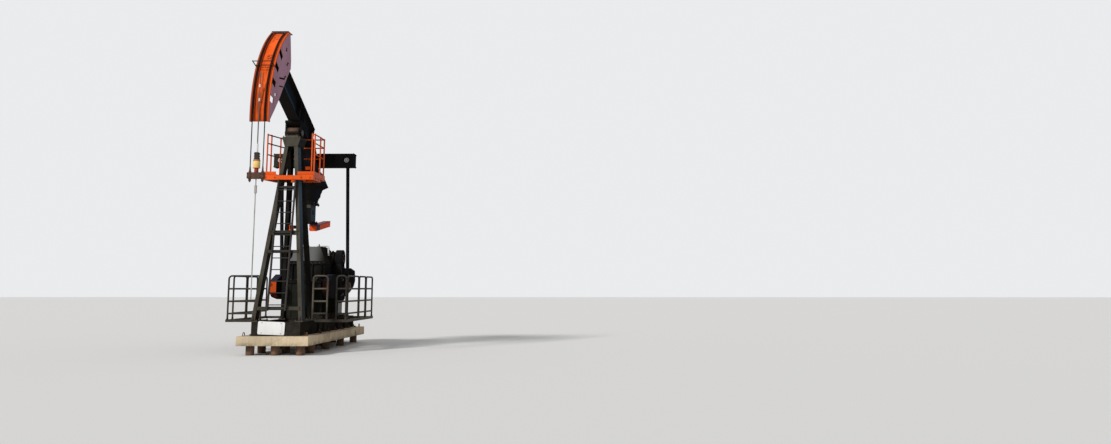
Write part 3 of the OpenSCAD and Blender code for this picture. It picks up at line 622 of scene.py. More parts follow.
def rod_marks(n, paint):
    """The rod's greasy upper end and its pale couplings."""
    z = n.place[2]
    paint = n.mix(n.ramp(z, 5.2, 5.3, 0.0, 0.8), paint, (0.07, 0.065, 0.06))
    pale = n.most(n.band(z, 6.26, 6.34, 0.003), n.band(z, 6.61, 6.69, 0.003))
    return n.mix(pale, paint, (0.62, 0.6, 0.56))


def strands(n):
    """The lay of six strands round each wire, on the arc and on the straight part."""
    x, along, reach = n.arc()
    y, z = n.place[1:3]
    side = n.minus(n.size(x), WIRE_X)
    hangs = n.ramp(z, SADDLE_Z + 0.02, SADDLE_Z - 0.02)
    out = n.plus(n.times(n.minus(reach, WIRE_R), n.minus(1.0, hangs)), n.times(n.plus(y, WIRE_R), hangs))
    length = n.plus(n.times(along, n.minus(1.0, hangs)), n.times(z, hangs))
    phase = n.plus(n.times(n.math("ARCTAN2", out, side), 3.0), n.times(length, 95.0))
    return n.times(n.size(n.wave(phase)), 2.2)


def strand_colour(n, paint):
    # Painted shade in the grooves between the strands.
    groove = n.ramp(strands(n), 0.9, 0.2)
    return n.mix(groove, paint, (0.008, 0.007, 0.007))


def plate_pattern(n):
    """Raised bars of tread plate on faces that look up."""
    up = n.ramp(n.facing[2], 0.8, 0.95)
    a = n.wave(n.times(n.plus(n.place[0], n.place[1]), 150.0))
    b = n.wave(n.times(n.minus(n.place[0], n.place[1]), 150.0))
    bars = n.ramp(n.times(a, b), 0.35, 0.6, 0.0, 1.6)
    return n.times(bars, up)


def mesh_holes(n, paint):
    """Painted shade: the dark openings of a guard's expanded metal, on faces that look sideways."""
    side = n.ramp(n.size(n.facing[0]), 0.9, 0.98)
    a = n.wave(n.times(n.plus(n.place[1], n.times(n.place[2], 0.55)), 105.0))
    b = n.wave(n.times(n.minus(n.place[1], n.times(n.place[2], 0.55)), 105.0))
    hole = n.ramp(n.times(a, b), 0.1, 0.3)
    return n.mix(n.times(n.times(hole, side), 0.9), paint, (0.006, 0.006, 0.006))


def cracks(n):
    """Pores and hairline cracks."""
    cell = n.add("ShaderNodeTexVoronoi", {"Vector": n.coords["Object"], "Scale": 1.7}, feature="DISTANCE_TO_EDGE")
    line = n.ramp(cell.outputs["Distance"], 0.004, 0.02, -1.6, 0.0)
    pores = n.add("ShaderNodeTexVoronoi", {"Vector": n.coords["Object"], "Scale": 42.0})
    return n.plus(line, n.ramp(pores.outputs["Distance"], 0.05, 0.16, -1.0, 0.0))


def slab_stains(n, paint):
    """Oil and mud on the concrete."""
    oil = n.times(n.ramp(n.noise(1.1, 6, 0.65, offset=4.0), 0.52, 0.62), n.ramp(n.place[1], -0.6, 1.6))
    paint = n.mix(n.times(oil, 0.75), paint, (0.10, 0.08, 0.06))
    mud = n.times(n.ramp(n.place[2], 0.38, 0.25), n.ramp(n.noise(3.0, 6, 0.6, offset=8.0), 0.4, 0.6))
    return n.mix(n.times(mud, 0.7), paint, (0.17, 0.12, 0.075))


def make_materials():
    black = dict(colour=(0.0075, 0.0075, 0.008), rough=0.55, vary=0.45, dust=0.035, rust=0.06, worn=0.3, gloss=0.0,
                 corner_shade=0.8)
    orange = dict(rough=0.6, vary=0.12, dust=0.035, rust=0.06, worn=0.4, gloss=0.06)
    weathered("concrete", (0.57, 0.455, 0.30), 0.9, vary=0.2, dust=0.15, rust=0.0, worn=0.3, corner_shade=0.6, bump=0.7,
              worn_colour=(0.42, 0.36, 0.28), gloss=0.2, marks=slab_stains, relief=cracks)
    weathered("rusty_pile", (0.10, 0.05, 0.03), 0.8, rust=0.7, dust=0.3, gloss=0.2)
    weathered("black_paint", marks=sheen_marks, **black)
    weathered("beam_paint", marks=beam_marks, **black)
    weathered("arm_paint", marks=arm_marks, **black)
    weathered("rail_paint", (0.80, 0.12, 0.022), corner_shade=0.3, under=0.85, marks=rail_marks, **orange)
    weathered("equalizer_paint", marks=equalizer_marks, **black)
    weathered("saddle_rust", (0.095, 0.055, 0.034), 0.7, rust=0.4, dust=0.08, gloss=0.1, under=0.9, marks=saddle_marks)
    weathered("leg_paint", (0.060, 0.055, 0.042), rough=0.6, dust=0.10, rust=0.08, worn=0.35, gloss=0.02, corner_shade=0.8,
              marks=leg_marks)
    weathered("shade_paint", (0.011, 0.0105, 0.0095), rough=0.6, dust=0.05, rust=0.08, worn=0.2, gloss=0.0, corner_shade=0.8)
    weathered("skid_paint", (0.009, 0.009, 0.0085), rough=0.65, dust=0.11, rust=0.15, worn=0.4, gloss=0.0)
    weathered("crank_paint", (0.008, 0.0075, 0.008), rough=0.55, vary=0.4, dust=0.04, rust=0.07, worn=0.35, gloss=0.0,
              marks=end_marks)
    weathered("orange_paint", (0.80, 0.105, 0.012), corner_shade=0.45, **orange)
    weathered("face_paint", (0.84, 0.110, 0.010), corner_shade=0.3, marks=face_marks, **orange)
    # The mauve of the head's flat sides is painted shade with a painted sky reflection over orange paint.
    weathered("faded_paint", (0.37, 0.20, 0.27), 0.7, vary=0.1, dust=0.03, rust=0.05, worn=0.3, corner_shade=0.4, gloss=0.1,
              marks=head_marks)
    weathered("deck_paint", (0.80, 0.105, 0.012), corner_shade=0.5, marks=platform_marks, relief=plate_pattern, **orange)
    weathered("weight_paint", (0.72, 0.075, 0.010), marks=weight_marks, **orange)
    weathered("guard_steel", (0.034, 0.031, 0.027), 0.6, 0.1, dust=0.16, rust=0.4, gloss=0.1,
              worn_colour=(0.11, 0.058, 0.034), marks=guard_marks)
    weathered("grey_steel", (0.06, 0.057, 0.052), 0.55, 0.2, dust=0.2, gloss=0.2)
    weathered("ladder_steel", (0.022, 0.021, 0.020), 0.55, 0.1, dust=0.12, rust=0.15, gloss=0.15)
    weathered("rusty_steel", (0.065, 0.032, 0.020), 0.7, 0.1, rust=0.7, dust=0.15, gloss=0.15)
    weathered("dark_rust", (0.022, 0.009, 0.006), 0.7, rust=0.2, dust=0.04, gloss=0.1, worn_colour=(0.06, 0.02, 0.012))
    weathered("dark_casting", (0.010, 0.010, 0.0095), 0.5, vary=0.4, dust=0.06, rust=0.06, worn=0.35, gloss=0.0,
              marks=gearbox_marks)
    weathered("pedestal_paint", (0.011, 0.0125, 0.0095), 0.55, dust=0.07, rust=0.1, gloss=0.0)
    weathered("wire_rope", (0.025, 0.026, 0.030), 0.45, 0.4, dust=0.04, rust=0.15, bump=0.9, gloss=0.2,
              marks=strand_colour, relief=strands)
    weathered("arc_rope", (0.020, 0.009, 0.006), 0.6, dust=0.02, rust=0.2, bump=0.9, gloss=0.1, marks=strand_colour,
              relief=strands)
    weathered("bright_rod", (0.34, 0.33, 0.31), 0.35, 0.6, dust=0.12, rust=0.1, worn=0.1, gloss=0.3, marks=rod_marks)
    weathered("yellow_paint", (0.66, 0.45, 0.15), 0.5, dust=0.12, rust=0.12, gloss=0.2, marks=cell_marks)
    weathered("clamp_paint", (0.02, 0.015, 0.012), 0.55, dust=0.1, rust=0.25, gloss=0.15, marks=clamp_marks)
    weathered("white_paint", (0.72, 0.72, 0.70), 0.5, vary=0.08, dust=0.12, rust=0.05, corner_shade=0.3, gloss=0.3)
    weathered("motor_grey", (0.022, 0.026, 0.032), 0.45, dust=0.12, rust=0.12, gloss=0.2)
    weathered("guard_mesh", (0.014, 0.014, 0.014), 0.55, dust=0.08, rust=0.15, gloss=0.1, marks=mesh_holes)
    weathered("board_white", (0.80, 0.80, 0.79), 0.4, vary=0.05, dust=0.1, rust=0.03, worn=0.3, corner_shade=0.2,
              low_dust=0.25, gloss=0.3)
    weathered("pale_steel", (0.42, 0.43, 0.43), 0.5, 0.2, dust=0.1, rust=0.1, worn=0.3)
    # Painted shade for the crank holes: near black for the holes' dark depth.
    weathered("hole_shade", (0.003, 0.003, 0.003), 0.35, vary=0.1, dust=0.03, rust=0.0, worn=0.0, gloss=0.2)
    weathered("bolt_steel", (0.045, 0.041, 0.036), 0.5, 0.3, dust=0.12, rust=0.35, gloss=0.2)


LOOKS = {
    "post_front_legs": "leg_paint", "post_rear_legs": "shade_paint", "post_cap": "leg_paint", "skid": "skid_paint",
    "ladder": "ladder_steel", "horsehead_face": "face_paint", "platform_deck": "deck_paint",
    "balance_weight": "weight_paint", "crank_guard_left": "guard_steel", "crank_guard_right": "guard_steel",
    "crank_weight_left": "crank_paint", "crank_weight_right": "crank_paint", "gearbox_pedestal": "pedestal_paint",
    "rod_clamp": "clamp_paint", "belt_guard": "guard_mesh", "arc_wires": "arc_rope", "wire_guard": "dark_rust",
    "saddle_block": "saddle_rust", "equalizer": "equalizer_paint", "walking_beam": "beam_paint",
    "balance_arm": "arm_paint", "platform_rails": "rail_paint",
}
SOFT_EDGES = {"horsehead_face": 0.002, "platform_rails": 0.0, "arc_wires": 0.0, "free_wires": 0.0, "wire_guard": 0.0,
              "polished_rod": 0.0, "foundation_slab": 0.018, "crank_weight_left": 0.012, "crank_weight_right": 0.012,
              "gearbox": 0.014, "skid_board": 0.003, "ladder": 0.003}


def dress_cad():
    for entry in frame["record"]["subparts"]:
        name = entry["node"]
        node = frame["nodes"][name]
        node.data.materials.clear()
        node.data.materials.append(looks[LOOKS.get(name, entry["material_slot"])])
        width = SOFT_EDGES.get(name, 0.004)
        if width:
            weld = node.modifiers.new("weld", "WELD")
            weld.merge_threshold = 0.00005
            add_bevel(node, width)


# Pieces
part = Part()


def add_foundation():
    for y in (-0.7, 0.75, 1.7, 2.45, 3.2, 4.1, 4.75):
        for s in BOTH:
            part.brick((s * 0.68, y, SLAB_TOP + 0.029), (0.06, 0.06, 0.009))
            part.brick((s * 0.72, y, SLAB_TOP + 0.01), (0.02, 0.06, 0.0101))
            part.bolt((s * 0.675, y, SLAB_TOP + 0.038), UP, 0.046, 0.8)
    part.make("skid_clamps", "base", "rusty_steel", 0.003)
    for x in mirrored(0.82):
        for y in (-0.95, 4.9):
            arch = [(x, y - 0.07 * math.cos(t), SLAB_TOP + 0.03 + 0.06 * math.sin(t))
                    for t in (math.pi * i / 10 for i in range(11))]
            part.tube([(x, y - 0.07, SLAB_TOP - 0.02), *arch, (x, y + 0.07, SLAB_TOP - 0.02)], 0.011)
    part.make("slab_lifting_loops", "base", "rusty_steel")


def add_post():
    for s in BOTH:
        for x0, x1, y0, y1 in ((0.48, 0.70, -0.96, -0.56), (0.29, 0.48, 0.75, 1.05)):
            part.box((min(s * x0, s * x1), y0, SKID_TOP), (max(s * x0, s * x1), y1, FOOT_TOP))
        for p, deep in ((front_leg(SKID_TOP, s), 0.14), (rear_leg(SKID_TOP, s), 0.112)):
            for end in BOTH:
                near = p.y + end * (deep - 0.002)
                gusset = ((p.x, near, FOOT_TOP), (p.x, p.y + end * (deep + 0.04), FOOT_TOP),
                          (p.x, near + 0.014, SKID_TOP + 0.16))
                part.prism([Vector(q) - Vector((0.006, 0, 0)) for q in gusset], (0.012, 0, 0))
    part.make("post_feet", "base", "leg_paint", 0.002)
    part.bolts(mirrored(0.515, 0.665), (-0.935, -0.585), (FOOT_TOP,), UP, 0.038, 0.5)
    part.bolts(mirrored(0.315, 0.455), (0.77, 1.03), (FOOT_TOP,), UP, 0.032, 0.5)
    for s in BOTH:
        for z, h in CROSS_BARS:
            p = front_leg(z, s)
            for dz in BOTH:
                part.bolt((p.x - s * 0.02, p.y - 0.148, z + dz * h * 0.28), TO_WELL, 0.026)
                y = p.y - 0.141 + dz * h * 0.07
                part.weld((p.x - 0.048, y, z + dz * h / 2), (p.x + 0.048, y, z + dz * h / 2), seed=z)
        for z in (1.9, 3.4):
            p = rear_leg(z, s)
            part.bolt((p.x - s * 0.06, p.y + 0.03, z), TO_REAR, 0.028)
    part.bolts(mirrored(0.135), (-0.185, 0.185), (5.855,), UP, 0.036, 0.6)
    part.bolts(mirrored(0.22), (-0.2, 0.28), (5.82,), UP, 0.032, 0.5)
    part.make("post_bolts", "base")
    for end in BOTH:
        part.brick((0, end * 0.178, SADDLE_Z), (0.165, 0.02, 0.016))
        for x in mirrored(0.11):
            part.bolt((x, end * 0.18, SADDLE_Z + 0.016), UP, 0.03, 0.2)
            part.brick((x, end * 0.166, 5.895), (0.009, 0.012, 0.042))
    part.lathe((0, -0.157, 5.91), TO_WELL, [(0.012, 0), (0.012, 0.012), (0.006, 0.016), (0.006, 0.03)], 10)
    part.make("saddle_caps", "base", "saddle_rust", 0.003)
    part.brick((0.19, -0.545, 3.255), (0.062, 0.022, 0.016))
    for x in (0.145, 0.235):
        part.tube([(x, -0.545, 3.25), (x, -0.545, 3.35), (x - 0.01, -0.56, 3.39)], 0.013)
    part.make("prong_bracket", "base", "orange_paint", 0.003)


def add_ladder():
    for z, _ in CROSS_BARS:
        for s in BOTH:
            part.bolt((LADDER_X + s * 0.232, front_leg(z).y - LADDER_OUT - 0.029, z), TO_WELL, 0.022)
    for i in range(RUNGS):
        z = FIRST_RUNG + i * RUNG_GAP
        for s in BOTH:
            part.lathe((LADDER_X + s * 0.212, front_leg(z).y - LADDER_OUT, z), (-s, 0, 0),
                       [(0.019, 0), (0.019, 0.003), (0.0135, 0.009)], 12)
    part.make("ladder_joints", "base", "ladder_steel")


def add_platform():
    part.bolts(mirrored(0.36, 0.6), (-0.415,), (4.68,), TO_WELL, 0.03)
    part.bolts((0.69,), (-0.2, 0.05, 0.26), (4.68,), RIGHT, 0.03)
    part.bolts(mirrored(0.287), (-0.33, 0.24), (4.638,), DOWN, 0.026)
    part.make("platform_bolts", "base", "orange_paint")
    left, rear = Vector((-0.643, -0.24, DECK_TOP)), Vector((-0.415, 0.705, DECK_TOP))
    feet = [left.lerp(rear, share) for share in (0, 0.2, 0.68, 1)]
    feet += [Vector((x, y, DECK_TOP)) for x, y in ((0.655, -0.24), (0.655, 0.32), (0.655, 0.705), (0.585, -0.24))]
    for p in feet:
        part.lathe(p, UP, [(0.034, 0), (0.034, 0.012), (0.0235, 0.024), (0.0235, 0.04)], 16)
        part.lathe(p + Vector((0, 0, 1.148)), UP, [(0.0205, 0), (0.017, 0.0065), (0.008, 0.0095)], 16)
    for y in (-0.35, -0.1, 0.15, 0.45, 0.68):
        part.brick((0.49, y, 4.731), (0.19, 0.02, 0.007))
        part.brick((-0.42, y, 4.731), (0.1, 0.02, 0.007))
    part.make("platform_fittings", "base", "deck_paint", 0.002)


def add_gearbox():
    part.box((-0.552, 1.655, 2.40), (0.552, 3.285, FLANGE_TOP))
    part.box((-0.5, 1.61, 1.90), (0.5, 3.34, BASE_TOP))
    for x in mirrored(0.16, 0.42):
        for y in (1.685, 3.265):
            part.brick((x, y, 2.165), (0.011, 0.03, 0.236))
    part.box((-0.23, 2.34, 2.918), (0.23, 2.76, COVER_TOP))
    for s in BOTH:
        part.ring((s * 0.54, *CRANK), (s, 0, 0), 0.185, 0.225, 0.013, 40)
        for y in (1.98, 2.70):
            part.eye((s * 0.255, y, 2.955), 0.036, 0.009)
    part.make("gearbox_flanges", "base", "dark_casting", 0.003)
    part.bolts((0, *mirrored(0.125, 0.25, 0.37, 0.49)), (1.677, 3.262), (FLANGE_TOP,), UP, 0.03)
    part.bolts((0, *mirrored(0.28, 0.45)), (1.645, 3.30), (BASE_TOP,), UP, 0.042, 0.5)
    part.bolts(mirrored(0.205), (2.36, 2.45, 2.55, 2.65, 2.74), (COVER_TOP,), UP, 0.02, 0)
    part.bolts((-0.1, 0, 0.1), (2.36, 2.74), (COVER_TOP,), UP, 0.02, 0)
    for s in BOTH:
        part.bolt_circle((s * 0.551, *CRANK), (s, 0, 0), 0.206, 10, 0.019, 0.3, 0)
    part.bolts(mirrored(0.512), (1.5, 1.9, 2.3, 2.7, 3.1, 3.34), (0.89,), UP, 0.034, 0.4)
    part.bolt((0.3, 1.697, 1.99), TO_WELL, 0.05, 0)
    part.lathe((-0.02, 1.697, 2.12), TO_WELL, [(0.035, 0), (0.035, 0.012), (0.024, 0.014), (0.024, 0.012)], 20)
    part.make("gearbox_bolts", "base")
    for y in (1.446, 3.354):
        for x in (-0.36, -0.12, 0.12):
            part.brick((x, y, 1.38), (0.01, 0.012, 0.47))
    for y in (1.65, 2.15, 2.65, 3.15):
        part.brick((0.385, y, 1.345), (0.088, 0.008, 0.357))
    part.make("pedestal_ribs", "base", "pedestal_paint", 0.003)
    for z in (2.9, 2.86):
        part.lathe((0.475, 2.2, z), DOWN, [(0.0262, 0), (0.031, 0.004), (0.031, 0.02), (0.0262, 0.024)], 16)
    part.lathe((0.15, 2.2, 2.921), UP, [(0.04, 0), (0.04, 0.008), (0.03, 0.012), (0.03, 0.02)], 6)
    part.make("vent_collars", "base", "white_paint")


def add_motor():
    y, z = MOTOR
    for i in range(26):
        t = math.tau * (i + 0.5) / 26
        out = Vector((0, math.cos(t), math.sin(t)))
        if out.z >= -0.75:
            part.slab(Vector((-0.02, y, z)) + out * 0.262, (0.235, 0, 0), out * 0.016,
                      out.cross(Vector((0.0045, 0, 0))))
    part.lathe((0.33, y, z), RIGHT, [(0.262, -0.1), (0.262, 0.0), (0.235, 0.045), (0.12, 0.06)], 40)
    part.lathe((-0.33, y, z), LEFT, [(0.255, -0.05), (0.255, 0.004), (0.15, 0.03), (0.075, 0.035)], 40)
    part.box((-0.11, y - 0.33, z - 0.04), (0.09, y - 0.23, z + 0.15))
    part.box((-0.12, y - 0.345, z - 0.05), (0.10, y - 0.325, z + 0.16))
    part.eye((0, y, z + 0.285), 0.04, 0.01)
    part.make("motor_housing", "base", "motor_grey", 0.002)
    for r in (0.05, 0.085, 0.12, 0.155, 0.19):
        part.ring((0.372, y, z), RIGHT, r, r + 0.008, 0.02 if r < 0.13 else 0.008)
    part.bolts(mirrored(0.47), (y - 0.2, y + 0.2), (SKID_TOP + 0.04,), UP, 0.04, 0.5)
    part.bolts((-0.1, 0.08), (y - 0.345,), (z - 0.035, z + 0.14), TO_WELL, 0.014, 0)
    part.make("motor_fittings", "base")


def add_brake():
    y, z = PULLEY
    part.ring((0.583, y, z), RIGHT, 0.238, 0.252, 0.034, 48)
    part.brick((0.6, y + 0.262, z), (0.017, 0.022, 0.03))
    part.tube([(0.6, y + 0.27, z + 0.02), (0.6, y + 0.33, z - 0.35), (0.6, y + 0.24, 1.5)], 0.014)
    part.tube([(0.3, y + 0.24, 1.5), (0.625, y + 0.24, 1.5)], 0.02, 12)
    part.bolt((0.622, y, z), RIGHT, 0.03, 0)
    part.make("brake_band", "base", "rusty_steel", 0.002)


def add_belt_guard():
    for y, top in ((PULLEY[0], 1.96), (MOTOR[0], 1.26)):
        part.brick((-0.602, y, (SKID_TOP + top) / 2), (0.02, 0.03, (top - SKID_TOP) / 2))
        part.brick((-0.575, y, SKID_TOP + 0.008), (0.055, 0.06, 0.008))
    span = Vector((0, *MOTOR)) - Vector((0, *PULLEY))
    square = Vector((0, -span.z, span.y)).normalized()
    for x in (-0.637, -0.568):
        edge = []
        for centre, r, first in ((Vector((x, *PULLEY)), 0.42, 1), (Vector((x, *MOTOR)), 0.26, -1)):
            for i in range(25):
                t = math.pi * i / 24
                edge.append(centre + (square * math.cos(t) - span.normalized() * math.sin(t)) * first * r)
        part.tube(edge, 0.007, 8, True)
    part.make("belt_guard_frame", "base", "guard_steel", 0.002)


def add_guards():
    feet = [(x, GUARD_FRONT) for x in (-1.75, -0.85, 0.58, 0.972, 1.224, 1.49)]
    for x, lengths in ((-1.75, (0.38, 1.4, 1.48, 2.3, 2.38, 3.17)), (1.51, (0.09, 1.37, 1.45, 2.25, 2.33, 3.17))):
        feet += [(x, GUARD_FRONT + length) for length in lengths]
    for x, y in feet:
        part.lathe((x, y, 0.868), UP, [(0.036, 0), (0.036, 0.008), (0.027, 0.014), (0.027, 0.05)], 16)
    part.make("guard_collars", "base", "guard_steel")
    part.bolts(mirrored(0.66), (GUARD_FRONT, 3.52), (0.87,), UP, 0.03, 0.5)
    part.make("guard_bolts", "base")


def add_board():
    width, height, radius, turn = 0.7, 0.335, 0.035, math.radians(-2.4)
    centre = Vector((-0.105, -0.978, 0.69))
    across = Vector((math.cos(turn), 0, math.sin(turn)))
    up = Vector((-math.sin(turn), 0, math.cos(turn)))
    outline = []
    for cx, cz, first in ((1, 1, 0), (-1, 1, 90), (-1, -1, 180), (1, -1, 270)):
        for i in range(7):
            t = math.radians(first + 15 * i)
            outline.append(centre + across * (cx * (width / 2 - radius) + radius * math.cos(t))
                           + up * (cz * (height / 2 - radius) + radius * math.sin(t)))
    part.prism(outline, (0, 0.006, 0))
    board = part.make("blank_board", "base", "board_white", 0.0015)
    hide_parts("skid_board")
    for sx in BOTH:
        middle = centre + across * sx * 0.25
        part.slab(middle + Vector((0, 0.017, 0)), (0.02, 0, 0), (0, 0.011, 0), up * 0.15)
        for sz in BOTH:
            part.lathe(middle + up * sz * 0.13, TO_WELL, [(0.011, 0), (0.009, 0.004), (0.004, 0.005)], 12)
    part.make("board_brackets", "base")


def add_head():
    for s in BOTH:
        path = [polar(-3.6 + i * 0.346, FACE_BACK_R, s * (HEAD_HALF + 0.002)) for i in range(178)]
        part.tube(path, [0.0075 * (0.9 + 0.15 * wobble(i, s)) for i in range(178)], 6)
    for angle in (13.8, 23.9, 34.1, 44.6):
        out, along = arc_frame(angle)
        part.slab(polar(angle, FACE_R - 0.145), (0.205, 0, 0), out * 0.115, along * 0.006)
    part.make("head_welds_and_ribs", "beam", "faded_paint")
    for s in BOTH:
        for v in (0.39, 0.818):
            for du in (-0.008, 0.008):
                part.bolt(on_beam(s * HEAD_HALF, -2.05 + du * 2, v + du * 4.5), (s, 0, 0), 0.036)
        for v in (0.36, 0.42, 0.78, 0.85):
            part.bolt(on_beam(s * 0.1, -2.08, v), -ALONG_BEAM, 0.034)
    part.make("head_bolts", "beam")
    out, along = arc_frame(57.3)
    part.slab(polar(57.3, FACE_R + 0.014), (0.11, 0, 0), out * 0.014, along * 0.02)
    out, along = arc_frame(55.4)
    for s in BOTH:
        part.slab(polar(55.4, WIRE_R + 0.0185, s * WIRE_X), (0.042, 0, 0), out * 0.005, along * 0.03)
        for dx in mirrored(0.0255):
            part.bolt(polar(55.4, WIRE_R + 0.0235, s * WIRE_X + dx), out, 0.016, 0)
    part.make("wire_anchors", "beam", "rusty_steel", 0.002)


def add_wire_guard():
    """The guard's rods with the paint and grease that thicken them, in place of the bare ones."""
    seat, tip = polar(26.7, FACE_R - 0.055), polar(25.4, FACE_R + 0.287)
    for s in BOTH:
        side = Vector((s * (HEAD_HALF + 0.009), 0, 0))
        part.tube([seat + side, seat.lerp(tip, 0.5) + side, tip + side], GUARD_ROD_R, 12)
    for share in (0.36, 0.96):
        rod = seat.lerp(tip, share)
        part.tube([rod + Vector((x, 0, 0)) for x in (-HEAD_HALF - 0.009, 0, HEAD_HALF + 0.009)], GUARD_ROD_R, 12)
    guard = part.make("wire_guard_rods", "beam", "dark_rust")
    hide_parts("wire_guard")


def add_beam():
    for s in BOTH:
        for v, dv in ((0.308, 0.004), (0.92, -0.004)):
            for u0, u1 in ((-2.01, -0.25), (-0.21, 0.21), (0.25, 1.2)):
                part.weld(on_beam(s * 0.012, u0, v + dv), on_beam(s * 0.012, u1, v + dv), 0.008, v + s)
    part.make("beam_welds", "beam", "black_paint")
    for s in BOTH:
        for u in (-0.17, -0.06, 0.06, 0.17):
            part.bolt(on_beam(s * 0.09, u, 0.308), OFF_BEAM, 0.036)
        for u in (-0.19, 0, 0.19):
            part.bolt(on_beam(s * 0.192, u, 0.28), OFF_BEAM, 0.034)
        for v in (0.4, 0.52, 0.64, 0.76):
            part.bolt(on_beam(s * 0.115, 1.23, v), ALONG_BEAM, 0.03)
        part.disc((s * 0.222, 0, SADDLE_Z), (s, 0, 0), 0.088, 0.012, 32)
        part.bolt_circle((s * 0.234, 0, SADDLE_Z), (s, 0, 0), 0.055, 4, 0.022, 0.4, 0)
        part.disc((s * 0.14, *TAIL), (s, 0, 0), 0.055, 0.004)
    part.make("beam_bolts", "beam")


def add_balance():
    part.bolts(mirrored(0.139), (1.69, 1.92, 2.15), (4.18,), UP, 0.03, 0.5)
    part.bolts(mirrored(0.139), (1.69, 1.92, 2.15), (4.134,), DOWN, 0.03)
    part.bolts(mirrored(0.088), (1.7, 2.205), (3.648,), UP, 0.032, 0.5)
    for s in BOTH:
        part.bolts((s * 0.117,), (2.24, 2.42), (3.46, 3.56), (s, 0, 0), 0.026)
    part.make("balance_bolts", "beam", "grey_steel")
    for s in BOTH:
        part.prism([(s * 0.105, y, z) for y, z in ((2.19, 3.42), (2.48, 3.45), (2.48, 3.6), (2.19, 3.585))],
                   (s * 0.012, 0, 0))
    hook = ((1.83, 4.22), (2.38, 4.385), (2.47, 4.44), (2.50, 4.54), (2.48, 4.68), (2.33, 4.78))
    part.tube([(0.09, y, z) for y, z in hook], 0.018, 12)
    part.brick((0, 1.66, 4.08), (0.06, 0.02, 0.05))
    part.make("balance_plates", "beam", "leg_paint", 0.002)
    tag = ((1.226, 5.187), (1.256, 5.102), (1.276, 5.109), (1.246, 5.194))
    part.prism([(-0.018, y, z) for y, z in tag], (0.13, 0, 0))
    part.make("arm_tag", "beam", "orange_paint", 0.002)


def add_carrier():
    for s in BOTH:
        part.lathe((s * WIRE_X, WELL_Y, 4.5), UP,
                   [(0.033, 0), (0.033, 0.03), (0.026, 0.04), (0.016, 0.15), (0.0135, 0.155)], 18)
        part.bolts((s * 0.12, s * 0.19), (WELL_Y - 0.07,), (4.385, 4.465), TO_WELL, 0.026)
        part.brick((s * WIRE_X, WELL_Y - 0.072, 4.425), (0.045, 0.005, 0.062))
        part.lathe((s * WIRE_X, WELL_Y, 4.296), DOWN, [(0.022, 0), (0.022, 0.012), (0.014, 0.02), (0.014, 0.03)], 6)
        part.bolts((s * 0.048,), (WELL_Y - 0.035, WELL_Y + 0.035), (4.84, 4.90, 4.96), (s, 0, 0), 0.022)
    part.make("carrier_bolts", "carrier", "rusty_steel", 0.001)
    for z, r in ((4.607, 0.088), (4.66, 0.0865), (4.775, 0.0875)):
        part.lathe((0, WELL_Y, z), UP, [(0.08, 0), (r, 0.003), (r, 0.011), (0.08, 0.014)], 36, True)
    part.bolt_circle((0, WELL_Y, 4.81), UP, 0.07, 6, 0.016, 0.2, 0)
    part.make("cell_rings", "carrier", "yellow_paint")


def add_pitmans():
    for s in BOTH:
        for y, axis in ((1.97, TO_WELL), (2.34, TO_REAR)):
            part.ring((s * PITMAN_X, y, TAIL[1]), axis, 0.046, 0.07, 0.008, 36)
            part.lathe((s * PITMAN_X, y, TAIL[1]), axis,
                       [(0.035, -0.002), (0.037, 0.004), (0.037, 0.022), (0.03, 0.028)], 6)
    part.make("equalizer_pin_nuts", "pitmans", "pale_steel")
    for s in BOTH:
        part.prism([(s * 1.175, y, z) for y, z in ((1.985, 5.27), (2.325, 5.27), (2.325, 5.69), (1.985, 5.69))],
                   (s * 0.01, 0, 0))
        part.bolts((s * 1.185,), (2.01, 2.155, 2.3), (5.3, 5.66), (s, 0, 0), 0.026)
        for x in (0.13, 0.16):
            part.brick((s * x, 1.993, TAIL[1]), (0.006, 0.012, 0.2))
        part.brick((s * PITMAN_X, TAIL[0], 5.272), (0.06, 0.08, 0.01))
        part.ring((s * 0.14, *TAIL), (s, 0, 0), 0.035, 0.062, 0.008, 28)
    part.make("equalizer_plates", "pitmans", "black_paint", 0.002)
    part.brick((-0.70, 1.992, 5.468), (0.04, 0.006, 0.026))
    part.make("equalizer_tag", "pitmans", "orange_paint", 0.002)
    for s in BOTH:
        pin = on_crank(s * 1.05, CRANK_THROW)
        part.ring(pin, (s, 0, 0), 0.07, 0.13, 0.01, 40)
        part.disc(pin, (s, 0, 0), 0.066, 0.022, 30)
        part.bolt_circle(pin + Vector((s * 0.01, 0, 0)), (s, 0, 0), 0.1, 8, 0.022, 0.2, 0)
    part.make("wrist_caps", "pitmans", "rusty_steel", 0.002)


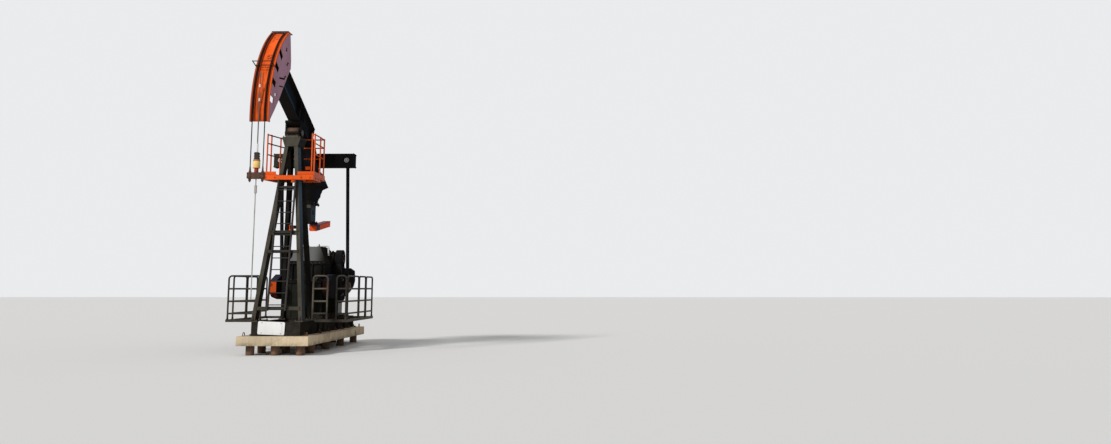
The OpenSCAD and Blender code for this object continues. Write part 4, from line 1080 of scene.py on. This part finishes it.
def add_cranks():
    for s, side in ((-1, "left"), (1, "right")):
        out = Vector((s, 0, 0))
        part.disc(on_crank(s * CRANK_OUT, CRANK_THROW), out, 0.088, 0.024, 36)
        part.lathe(on_crank(s * CRANK_IN, CRANK_THROW), -out, [(0.06, 0), (0.06, 0.024), (0.052, 0.028)], 6)
        for across in mirrored(0.178):
            part.slab(on_crank(s * (CRANK_OUT + 0.005), 0.76, across), out * 0.006, CRANK_DIR * 0.47,
                      CRANK_SIDE * 0.012)
        for down in CRANK_HOLES:
            part.ring(on_crank(s * CRANK_OUT, down), out, 0.042, 0.058, 0.007, 28)
        part.bolt_circle((s * 0.862, *CRANK), out, 0.178, 8, 0.021, 0.2, 0)
        part.disc((s * 0.87, *CRANK), out, 0.07, 0.005, 28)
        part.slab(Vector((s * 0.866, *CRANK)) - CRANK_DIR * 0.11, out * 0.006, CRANK_DIR * 0.03, CRANK_SIDE * 0.016)
        part.make("crank_fittings_" + side, "cranks", "crank_paint", 0.002)
        # Painted shade: near-black discs in the crank holes.
        for down in CRANK_HOLES:
            part.disc(on_crank(s * CRANK_OUT, down), out, 0.041, 0.002)
        part.make("crank_holes_" + side, "cranks", "hole_shade")
        for across in BOTH:
            cy, cz = PANEL_CENTRE
            part.prism([on_crank(s * CRANK_OUT, -(cz + (z - cz) * PANEL_SHARE), across * (cy + (y - cy) * PANEL_SHARE))
                        for y, z in WEIGHT_OUTLINE], out * 0.012)
        part.make("weight_panels_" + side, "cranks", "crank_paint", 0.006)
        for across in mirrored(0.245):
            for down in (0.56, 1.08):
                part.bolt(on_crank(s * CRANK_OUT, down, across), out, 0.034, 0)
        part.make("weight_bolts_" + side, "cranks")


def make_stage():
    mesh = bpy.data.meshes.new("floor")
    reach = 150
    mesh.from_pydata([(-reach, -reach, 0), (reach, -reach, 0), (reach, reach, 0), (-reach, reach, 0)], [],
                     [(0, 1, 2, 3)])
    floor = bpy.data.objects.new("floor", mesh)
    bpy.context.collection.objects.link(floor)
    material = bpy.data.materials.new("floor")
    material.use_nodes = True
    shader = material.node_tree.nodes["Principled BSDF"]
    shader.inputs["Base Color"].default_value = (0.78, 0.77, 0.75, 1)
    shader.inputs["Roughness"].default_value = 0.95
    mesh.materials.append(material)


def make_light():
    world = bpy.data.worlds.new("studio")
    bpy.context.scene.world = world
    world.use_nodes = True
    tree = world.node_tree
    background = tree.nodes["Background"]
    path = tree.nodes.new("ShaderNodeLightPath")
    seen = path.outputs["Is Camera Ray"]
    for ray in ("Is Glossy Ray", "Is Transmission Ray"):
        either = tree.nodes.new("ShaderNodeMath")
        either.operation = "MAXIMUM"
        tree.links.new(seen, either.inputs[0])
        tree.links.new(path.outputs[ray], either.inputs[1])
        seen = either.outputs[0]
    level = tree.nodes.new("ShaderNodeMapRange")
    tree.links.new(seen, level.inputs["Value"])
    level.inputs["To Min"].default_value = 0.38
    level.inputs["To Max"].default_value = 0.85
    tree.links.new(level.outputs[0], background.inputs["Strength"])
    background.inputs["Color"].default_value = (0.97, 0.98, 1.0, 1)
    sun = bpy.data.lights.new("key", "SUN")
    sun.energy = 2.7
    sun.angle = math.radians(9)
    lamp = bpy.data.objects.new("key", sun)
    lamp.rotation_euler = Vector((0.75, 1.0, -0.8)).to_track_quat("-Z", "Y").to_euler()
    bpy.context.collection.objects.link(lamp)


make_camera()
make_materials()
dress_cad()
for add in (add_foundation, add_post, add_ladder, add_platform, add_gearbox, add_motor, add_brake, add_belt_guard,
            add_guards, add_board, add_head, add_wire_guard, add_beam, add_balance, add_carrier, add_pitmans,
            add_cranks):
    add()
make_stage()
make_light()
scene = bpy.context.scene
scene.view_settings.view_transform = "Standard"
bpy.context.view_layer.update()
